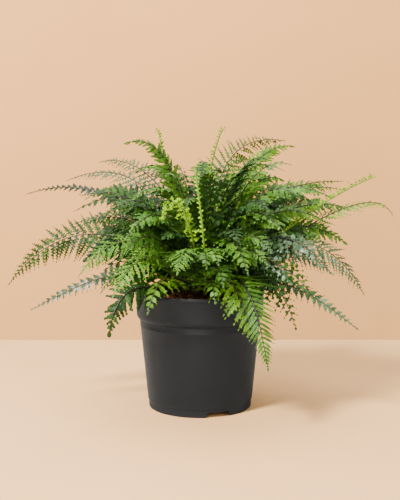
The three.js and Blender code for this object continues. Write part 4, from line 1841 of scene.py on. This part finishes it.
class StalkLine:
    """The line that a frond's stalk follows, with the way that its face looks along it."""

    steps = 80
    hook_steps = 25
    hook_turn = 220.0  # in degrees
    hook_shrink = 0.08 / 44  # how much closer the hook winds with each degree
    blade_end = 0.97  # where the side leaves end, as a share of the line
    rolled_by = 0.4  # where the face has the whole of its roll, in the same way
    glance = 0.004  # how far to look both ways for the direction, in the same way

    def __init__(self, frond: Frond, crown: Crown) -> None:
        """Draws the line.

        Args:
            frond: the frond whose stalk it is.
            crown: the crown that it grows from.
        """
        azimuth = math.radians(frond.azimuth)
        self.outward = np.array((math.cos(azimuth), math.sin(azimuth), 0.0))
        self.sideways = np.array((-math.sin(azimuth), math.cos(azimuth), 0.0))
        self.roll = math.radians(frond.roll)
        corners = (
            self.point((frond.start, crown.height(frond.start)), 0),
            self.point(frond.rise, 0),
            self.point(frond.brow, frond.sway / 2),
            self.point(frond.tip, frond.sway),
        )
        share = np.linspace(0, 1, self.steps + 1)[:, None]
        left = 1 - share
        weights = (left**3, 3 * left**2 * share, 3 * left * share**2, share**3)
        path = sum(weight * corner for weight, corner in zip(weights, corners))
        if frond.curl:
            path = np.concatenate((path, self.hook(path, frond.curl)))
        self.path = path
        self.passed = self.run(path)
        self.length = self.passed[-1]

    def point(self, place: RowPoint, aside: float) -> np.ndarray:
        """Finds a point near the frond's plane.

        Args:
            place: its radius from the axis and its height.
            aside: how far it is moved aside from the plane.

        Returns:
            The point.
        """
        radius, height = place
        return self.outward * radius + self.sideways * aside + UP * height

    @staticmethod
    def run(path: np.ndarray) -> np.ndarray:
        """How far each point of a path lies along it."""
        steps = np.linalg.norm(np.diff(path, axis=0), axis=1)
        return np.concatenate(([0.0], np.cumsum(steps)))

    def hook(self, path: np.ndarray, radius: float) -> np.ndarray:
        """Draws the small hook that the tip of a young frond is rolled in to.

        Args:
            path: the line up to the hook.
            radius: the radius that the hook starts with.

        Returns:
            The points that follow the path's last one.
        """
        ahead = path[-1] - path[-2]
        ahead = ahead / np.linalg.norm(ahead)
        inward = np.cross(self.sideways, ahead)
        inward = inward / np.linalg.norm(inward)
        centre = path[-1] + inward * radius
        degrees = np.linspace(0, self.hook_turn, self.hook_steps + 1)[1:, None]
        reach = radius * (1 - self.hook_shrink * degrees)
        angle = np.radians(degrees)
        return centre - inward * reach * np.cos(angle) + ahead * reach * np.sin(angle)

    def at(self, shares: np.ndarray) -> Stations:
        """Finds places along the line, and the way that the frond's face looks there.

        Args:
            shares: how far along the line each one is. Below 0 it lies in the crown.

        Returns:
            The places.
        """
        inside = np.clip(shares, 0, 1)
        passed = inside * self.length
        gap = self.glance * self.length
        centre = self.sample(passed)
        ahead = self.sample(np.minimum(passed + gap, self.length))
        forward = ahead - self.sample(np.maximum(passed - gap, 0))
        forward /= np.linalg.norm(forward, axis=1, keepdims=True)
        centre = centre + forward * ((shares - inside) * self.length)[:, None]
        flat = self.sideways - forward * (forward @ self.sideways)[:, None]
        flat /= np.linalg.norm(flat, axis=1, keepdims=True)
        turn = (self.roll * np.clip(inside / self.rolled_by, 0, 1))[:, None]
        left = flat * np.cos(turn) + np.cross(forward, flat) * np.sin(turn)
        return Stations(centre, forward, left, np.cross(forward, left))

    def sample(self, passed: np.ndarray) -> np.ndarray:
        """The points that lie at given distances along the line."""
        axes = (np.interp(passed, self.passed, self.path[:, axis]) for axis in range(3))
        return np.stack(list(axes), axis=1)


def blade_width(share: np.ndarray, taper: float) -> np.ndarray:
    """Gives the outline of a frond's blade.

    Args:
        share: how far along the blade, from 0 to 1.
        taper: how straight it narrows to its tip.

    Returns:
        How long the side leaves are there, as a share of the longest ones.
    """
    widest = 0.24
    low = 0.78 + 0.22 * share / widest
    high = (np.clip(1 - share, 0, 1) / (1 - widest)) ** taper
    return np.where(share < widest, low, high)


@dataclass(frozen=True)
class Unevenness:
    """The spread of each random draw in a frond of scatter 1."""

    leaf_length: float = 0.05  # as a share
    leaf_lean: float = 3  # in degrees
    leaf_fold: float = 6  # in degrees
    leaf_twist: float = 0.12  # in radians
    leaf_droop: float = 0.25  # as a share
    leaf_tint: float = 0.09
    leaflet_fold: float = 0.24  # in radians
    leaflet_lean: float = 4  # in degrees
    leaflet_size: float = 0.06  # as a share
    leaflet_bend: float = 0.22  # in radians
    leaflet_tint: float = 0.1


@dataclass
class FrondBuilder:
    """Builds the fronds one by one: a stalk, its side leaves, and the leaflets on each of them.

    Millimetres. Each pair is a lowest and a highest value, unless it says otherwise.
    """

    book: PatternBook
    crown: Crown
    uneven: Unevenness = Unevenness()
    old_stalk: tuple[float, float] = (1.6, 0.5)  # the radius at the foot and at the tip
    young_stalk: tuple[float, float] = (1.35, 1.0)
    slim_end: float = 0.06  # the share of the stalk over which its tip narrows to half
    root_depth: float = 8
    scales: int = 26
    scaly_share: float = 0.16  # of the stalk
    scale_tilt: tuple[float, float] = (0.15, 0.6)  # off the stalk, in radians
    scale_length: tuple[float, float] = (4, 8)
    scale_width: tuple[float, float] = (1, 2)
    scale_depth: float = 1.0
    stalk_surface: float = 1.1
    least_leaves: int = 3
    smallest_leaf: float = 2.6
    crowding: float = 1.2  # how much closer the side leaves stand near the tip
    side_shift: float = 0.13  # how far left and right leaves stand apart, in spacings
    leaf_tip_tint: float = 0.12  # how much lighter the last side leaves are than the first
    rib_shade: float = 0.2  # how much darker a side leaf's rib is
    smallest_leaflet: float = 1.6
    leaflet_sweep: float = 14  # how much less the last leaflets lean, in degrees
    last_leaflet: float = 4.5
    materials: dict[Enum, Material] = field(default_factory=dict)

    def prepare(self) -> None:
        """Builds every leaf and stalk material once."""
        for finish in [*Leaves, *Stalks]:
            self.materials[finish] = finish.value.material()
        self.chaff = CHAFF.material()

    def stem(self, sheaf: Sheaf, line: StalkLine, frond: Frond) -> None:
        """Lays the stalk along its line, from its foot in the crown to its tip.

        Args:
            sheaf: what it is added to.
            line: the line.
            frond: the frond.
        """
        pattern = self.book.stalk
        foot = -self.root_depth / line.length
        shares = foot + (1 - foot) * pattern.points[:, 0]
        stations = line.at(shares)
        base, tip = self.young_stalk if frond.curl else self.old_stalk
        radius = base + (tip - base) * np.clip(shares, 0, 1)
        last = np.clip(shares - (1 - self.slim_end), 0, 1) / self.slim_end
        radius = (radius * (1 - 0.5 * last))[:, None]
        aside = stations.left * pattern.points[:, 1:2] * radius
        above = stations.up * pattern.points[:, 2:3] * radius
        middles = pattern.points[pattern.faces][:, :, 0].mean(axis=1)
        sheaf.add(pattern, ((stations.centre + aside + above) * MM)[None], middles[None], 1)

    def foot_scales(self, line: StalkLine, random: Random) -> Placing:
        """Where the brown scales round the foot of the stalk stand.

        Args:
            line: the line of the stalk.
            random: where their unevenness comes from.

        Returns:
            The scales.
        """
        count = self.scales
        stations = line.at(random.beta(1, 2.4, count) * self.scaly_share)
        angle = random.uniform(0, 2 * math.pi, count)[:, None]
        outward = stations.left * np.cos(angle) + stations.up * np.sin(angle)
        tilt = random.uniform(*self.scale_tilt, count)[:, None]
        along = stations.forward * np.cos(tilt) + outward * np.sin(tilt)
        up = outward * np.cos(tilt) - stations.forward * np.sin(tilt)
        length = random.uniform(*self.scale_length, count)
        width = random.uniform(*self.scale_width, count)
        sizes = np.stack((length, width, np.full(count, self.scale_depth)), axis=1)
        roots = stations.centre + outward * self.stalk_surface
        bends = random.normal(0.1, 0.5, count)
        tints = random.beta(2, 2, count) * 0.9
        return Placing(roots * MM, along, up, sizes * MM, bends, tints)

    def side_leaves(self, line: StalkLine, frond: Frond, side: int, random: Random) -> Placing:
        """Where the side leaves on one side of the stalk stand.

        Args:
            line: the line of the stalk.
            frond: the frond that they are part of.
            side: 1 for the left side and -1 for the right one.
            random: where the unevenness comes from.

        Returns:
            Their ribs, whose first size is the length of the leaf.
        """
        habit, spread, scatter = frond.habit, self.uneven, frond.habit.scatter
        blade = line.blade_end - habit.bare
        count = max(self.least_leaves, round(blade * line.length / habit.spacing))
        counted = (np.arange(count) + 0.5 + self.side_shift * side) / count
        place = 1 - (1 - counted) ** self.crowding
        stations = line.at(habit.bare + blade * place)
        length = frond.half * blade_width(place, habit.taper)
        length = length * random.normal(1, spread.leaf_length * scatter, count)
        length = np.clip(length, self.smallest_leaf, None)
        lean = habit.lean - habit.sweep * place
        lean = np.radians(lean + random.normal(0, spread.leaf_lean * scatter, count))[:, None]
        fold = habit.fold + random.normal(0, spread.leaf_fold * scatter, count)
        fold = np.radians(fold)[:, None]
        outward = side * stations.left * np.cos(fold) + stations.up * np.sin(fold)
        up = stations.up * np.cos(fold) - side * stations.left * np.sin(fold)
        along = stations.forward * np.cos(lean) + outward * np.sin(lean)
        twist = random.normal(0, spread.leaf_twist * scatter, count)[:, None]
        up = up * np.cos(twist) + np.cross(along, up) * np.sin(twist)
        thick = 0.22 + 0.006 * length
        sizes = np.stack((length, thick, thick), axis=1)
        bends = -habit.droop * random.normal(1, spread.leaf_droop, count)
        tints = frond.tint + random.normal(0, spread.leaf_tint, count) + self.leaf_tip_tint * place
        return Placing(stations.centre * MM, along, up, sizes * MM, bends, tints)

    @staticmethod
    def spots(pairs: int) -> tuple[np.ndarray, np.ndarray]:
        """Shares out the leaflets of a side leaf: pairs that alternate a little, and an end one.

        Args:
            pairs: how many pairs there are.

        Returns:
            How far along the rib each leaflet is, and its side: 1, -1, or 0 for the end one.
        """
        shares = (np.arange(pairs) + 0.62) / (pairs + 0.75)
        sides = np.tile((1.0, -1.0), pairs)
        shares = np.repeat(shares, 2) + 0.12 * sides / max(pairs, 1)
        return np.append(shares, 0.97 if pairs else 0.05), np.append(sides, 0.0)

    def leaflets(
        self, leaf: Placing, index: int, habit: Habit, random: Random
    ) -> tuple[Placing, np.ndarray]:
        """Where the leaflets of one side leaf stand.

        Args:
            leaf: the ribs of all the side leaves on that side.
            index: which of them carries the leaflets.
            habit: how the frond grows.
            random: where the unevenness comes from.

        Returns:
            The leaflets, and for each whether it is the mirrored kind.
        """
        spread, scatter = self.uneven, habit.scatter
        length = leaf.sizes[index, 0] / MM
        widest = min(habit.leaflet_length, 0.32 * length + 1.2)
        pairs = max(0, int((length - 0.8 * widest) / habit.leaflet_spacing))
        shares, sides = self.spots(pairs)
        count = len(shares)
        rib = leaf.arc(index, shares)
        across = sides[:, None] * rib.left
        fold = random.normal(0.1, spread.leaflet_fold * scatter, count)[:, None]
        outward = across * np.cos(fold) + rib.up * np.sin(fold)
        face = rib.up * np.cos(fold) - across * np.sin(fold)
        lean = habit.leaflet_lean - self.leaflet_sweep * shares
        lean = np.radians(lean + random.normal(0, spread.leaflet_lean * scatter, count))
        lean = (lean * np.abs(sides))[:, None]
        along = rib.forward * np.cos(lean) + outward * np.sin(lean)
        taper = (0.86 + 0.14 * np.minimum(shares / 0.18, 1)) * (1 - shares * 0.97) ** 0.5
        size = widest * taper * random.normal(1, spread.leaflet_size * scatter, count)
        size[-1] = max(0.45 * widest, 2.6) if pairs else length
        size = np.clip(size, self.smallest_leaflet, None)
        width = size * habit.leaflet_width * (1.0 if pairs else 0.66)
        sizes = np.stack((size, width, width), axis=1)
        tints = leaf.tints[index] + random.normal(0, spread.leaflet_tint, count)
        bends = habit.cup + random.normal(0, spread.leaflet_bend * scatter, count)
        return Placing(rib.centre, along, face, sizes * MM, bends, tints), sides > 0

    def web(self, leaves: Placing, habit: Habit) -> Placing:
        """Where the narrow blades go that join the leaflets of each side leaf along its rib.

        Args:
            leaves: the ribs of the side leaves.
            habit: how the frond grows.

        Returns:
            The blades, one for each rib.
        """
        length = leaves.sizes[:, 0]
        width = np.minimum(habit.web * MM, 0.9 * length)
        sizes = np.stack((0.95 * length, width, np.full(len(length), 3 * MM)), axis=1)
        return replace(leaves, sizes=sizes)

    def end_leaf(self, line: StalkLine, frond: Frond) -> Placing:
        """Where the leaflet at the very tip of a full-grown frond goes.

        Args:
            line: the line of the stalk.
            frond: the frond.

        Returns:
            The one leaflet.
        """
        tip = line.at(np.array([0.975]))
        width = self.last_leaflet * frond.habit.leaflet_width
        size = np.array([[self.last_leaflet, width, width]]) * MM
        tint = np.array([frond.tint + 0.15])
        return Placing(tip.centre * MM, tip.forward, tip.up, size, np.array([-0.2]), tint)

    def build(self, frond: Frond, seed: int) -> Object:
        """Builds one frond in place of its plain node.

        Args:
            frond: the frond.
            seed: what its unevenness is drawn from.

        Returns:
            The new object.
        """
        random = np.random.default_rng(seed)
        line = StalkLine(frond, self.crown)
        habit = frond.habit
        sheaf = Sheaf()
        self.stem(sheaf, line, frond)
        sheaf.lay(self.book.scale, self.foot_scales(line, random), 2)
        plain, mirrored = self.book.leaflets[habit.form]
        for side in (1, -1):
            leaves = self.side_leaves(line, frond, side, random)
            ribs = replace(leaves, tints=leaves.tints - self.rib_shade)
            sheaf.lay(self.book.rib, ribs, 0)
            if habit.web:
                sheaf.lay(self.book.leaflets[habit.web_form][0], self.web(leaves, habit), 0)
            count = len(leaves.roots)
            parts = [self.leaflets(leaves, index, habit, random) for index in range(count)]
            placing = Placing.joined([part for part, _ in parts])
            turned_over = np.concatenate([mask for _, mask in parts])
            sheaf.lay(mirrored, placing.chosen(turned_over), 0)
            sheaf.lay(plain, placing.chosen(~turned_over), 0)
        if not frond.curl:
            sheaf.lay(plain, self.end_leaf(line, frond), 0)
        materials = [self.materials[frond.leaf], self.materials[frond.stalk], self.chaff]
        obj = sheaf.build(f"{frond.node}_leaves", materials)
        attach(obj, "root")
        if frond.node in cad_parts:
            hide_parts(frond.node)
        return obj


# ---- stage ----


@dataclass(frozen=True)
class Lamp:
    """A square soft light. Metres and watts."""

    name: str
    place: Place
    size: float
    power: float
    colour: Colour

    def hang(self, aim: Place) -> None:
        """Hangs the lamp in its place.

        Args:
            aim: the point that it looks at.
        """
        data = bpy.data.lights.new(self.name, "AREA")
        data.size = self.size
        data.energy = self.power
        data.color = self.colour
        obj = bpy.data.objects.new(self.name, data)
        obj.location = self.place
        obj.rotation_euler = (Vector(aim) - Vector(self.place)).to_track_quat("-Z", "Y").to_euler()
        bpy.context.collection.objects.link(obj)


WARM: Colour = (1.0, 0.97, 0.93)
SOFT: Colour = (1.0, 0.98, 0.95)
LAMPS = (
    Lamp("key_light", (-1.5, -1.65, 2.4), 0.5, 232, WARM),
    Lamp("fill_light", (1.5, -1.4, 1.0), 1.2, 14, SOFT),
    Lamp("low_light", (-0.3, -1.6, 0.5), 1.0, 9, WARM),
    Lamp("top_light", (0.0, 0.1, 1.7), 0.9, 20, SOFT),
)


@dataclass
class Studio:
    """The floor, the backdrop, the lights and the camera. Metres, degrees and millimetres."""

    camera_place: Place = (0, -1.230, 0.347)
    camera_pitch: float = 84.6
    lens: float = 60.48
    sensor: float = 36
    stage_size: float = 8
    wall_y: float = 0.475
    aim: Place = (0, 0, 0.22)
    sky_colour: Colour = (1.0, 0.96, 0.91)
    sky_strength: float = 0.25

    def camera(self) -> None:
        """Sets up the camera as the photograph was taken."""
        data = bpy.data.cameras.new("camera")
        data.lens = self.lens
        data.sensor_width = self.sensor
        obj = bpy.data.objects.new("camera", data)
        obj.location = self.camera_place
        obj.rotation_euler = (math.radians(self.camera_pitch), 0, 0)
        bpy.context.collection.objects.link(obj)
        bpy.context.scene.camera = obj

    def plane(self, name: str, finish: StageFinish) -> Object:
        """Adds a plane that is not part of the plant.

        Args:
            name: its name.
            finish: how it looks.

        Returns:
            The plane.
        """
        deselect()
        bpy.ops.mesh.primitive_plane_add(size=self.stage_size)
        obj = bpy.context.object
        obj.name = name
        obj.data.materials.append(finish.material())
        return obj

    def build(self) -> None:
        """Sets the stage and lights it."""
        self.plane("floor", FLOOR)
        wall = self.plane("backdrop", WALL)
        wall.location = (0, self.wall_y, 0)
        wall.rotation_euler = (math.pi / 2, 0, 0)
        apply_place(wall)
        for lamp in LAMPS:
            lamp.hang(self.aim)
        world = bpy.data.worlds.new("studio")
        world.use_nodes = True
        sky = world.node_tree.nodes["Background"]
        sky.inputs["Color"].default_value = (*self.sky_colour, 1.0)
        sky.inputs["Strength"].default_value = self.sky_strength
        bpy.context.scene.world = world


def main() -> None:
    """Builds the camera, the plant and its stage."""
    logging.basicConfig(level=logging.INFO, format="%(name)s: %(message)s")
    studio = Studio()
    studio.camera()
    book = PatternBook()
    pot = NurseryPot()
    crown = Crown()
    pieces = [pot.build()]
    pieces += GrowingMix(pot).build(book)
    pieces += crown.build(book)
    builder = FrondBuilder(book, crown)
    builder.prepare()
    pieces += [builder.build(frond, seed) for seed, frond in enumerate(FRONDS + undergrowth())]
    studio.build()
    for piece in pieces:
        log.info("%s: %d faces", piece.name, len(piece.data.polygons))
    log.info("%d faces in all", sum(len(piece.data.polygons) for piece in pieces))


if __name__ == "__main__":
    main()
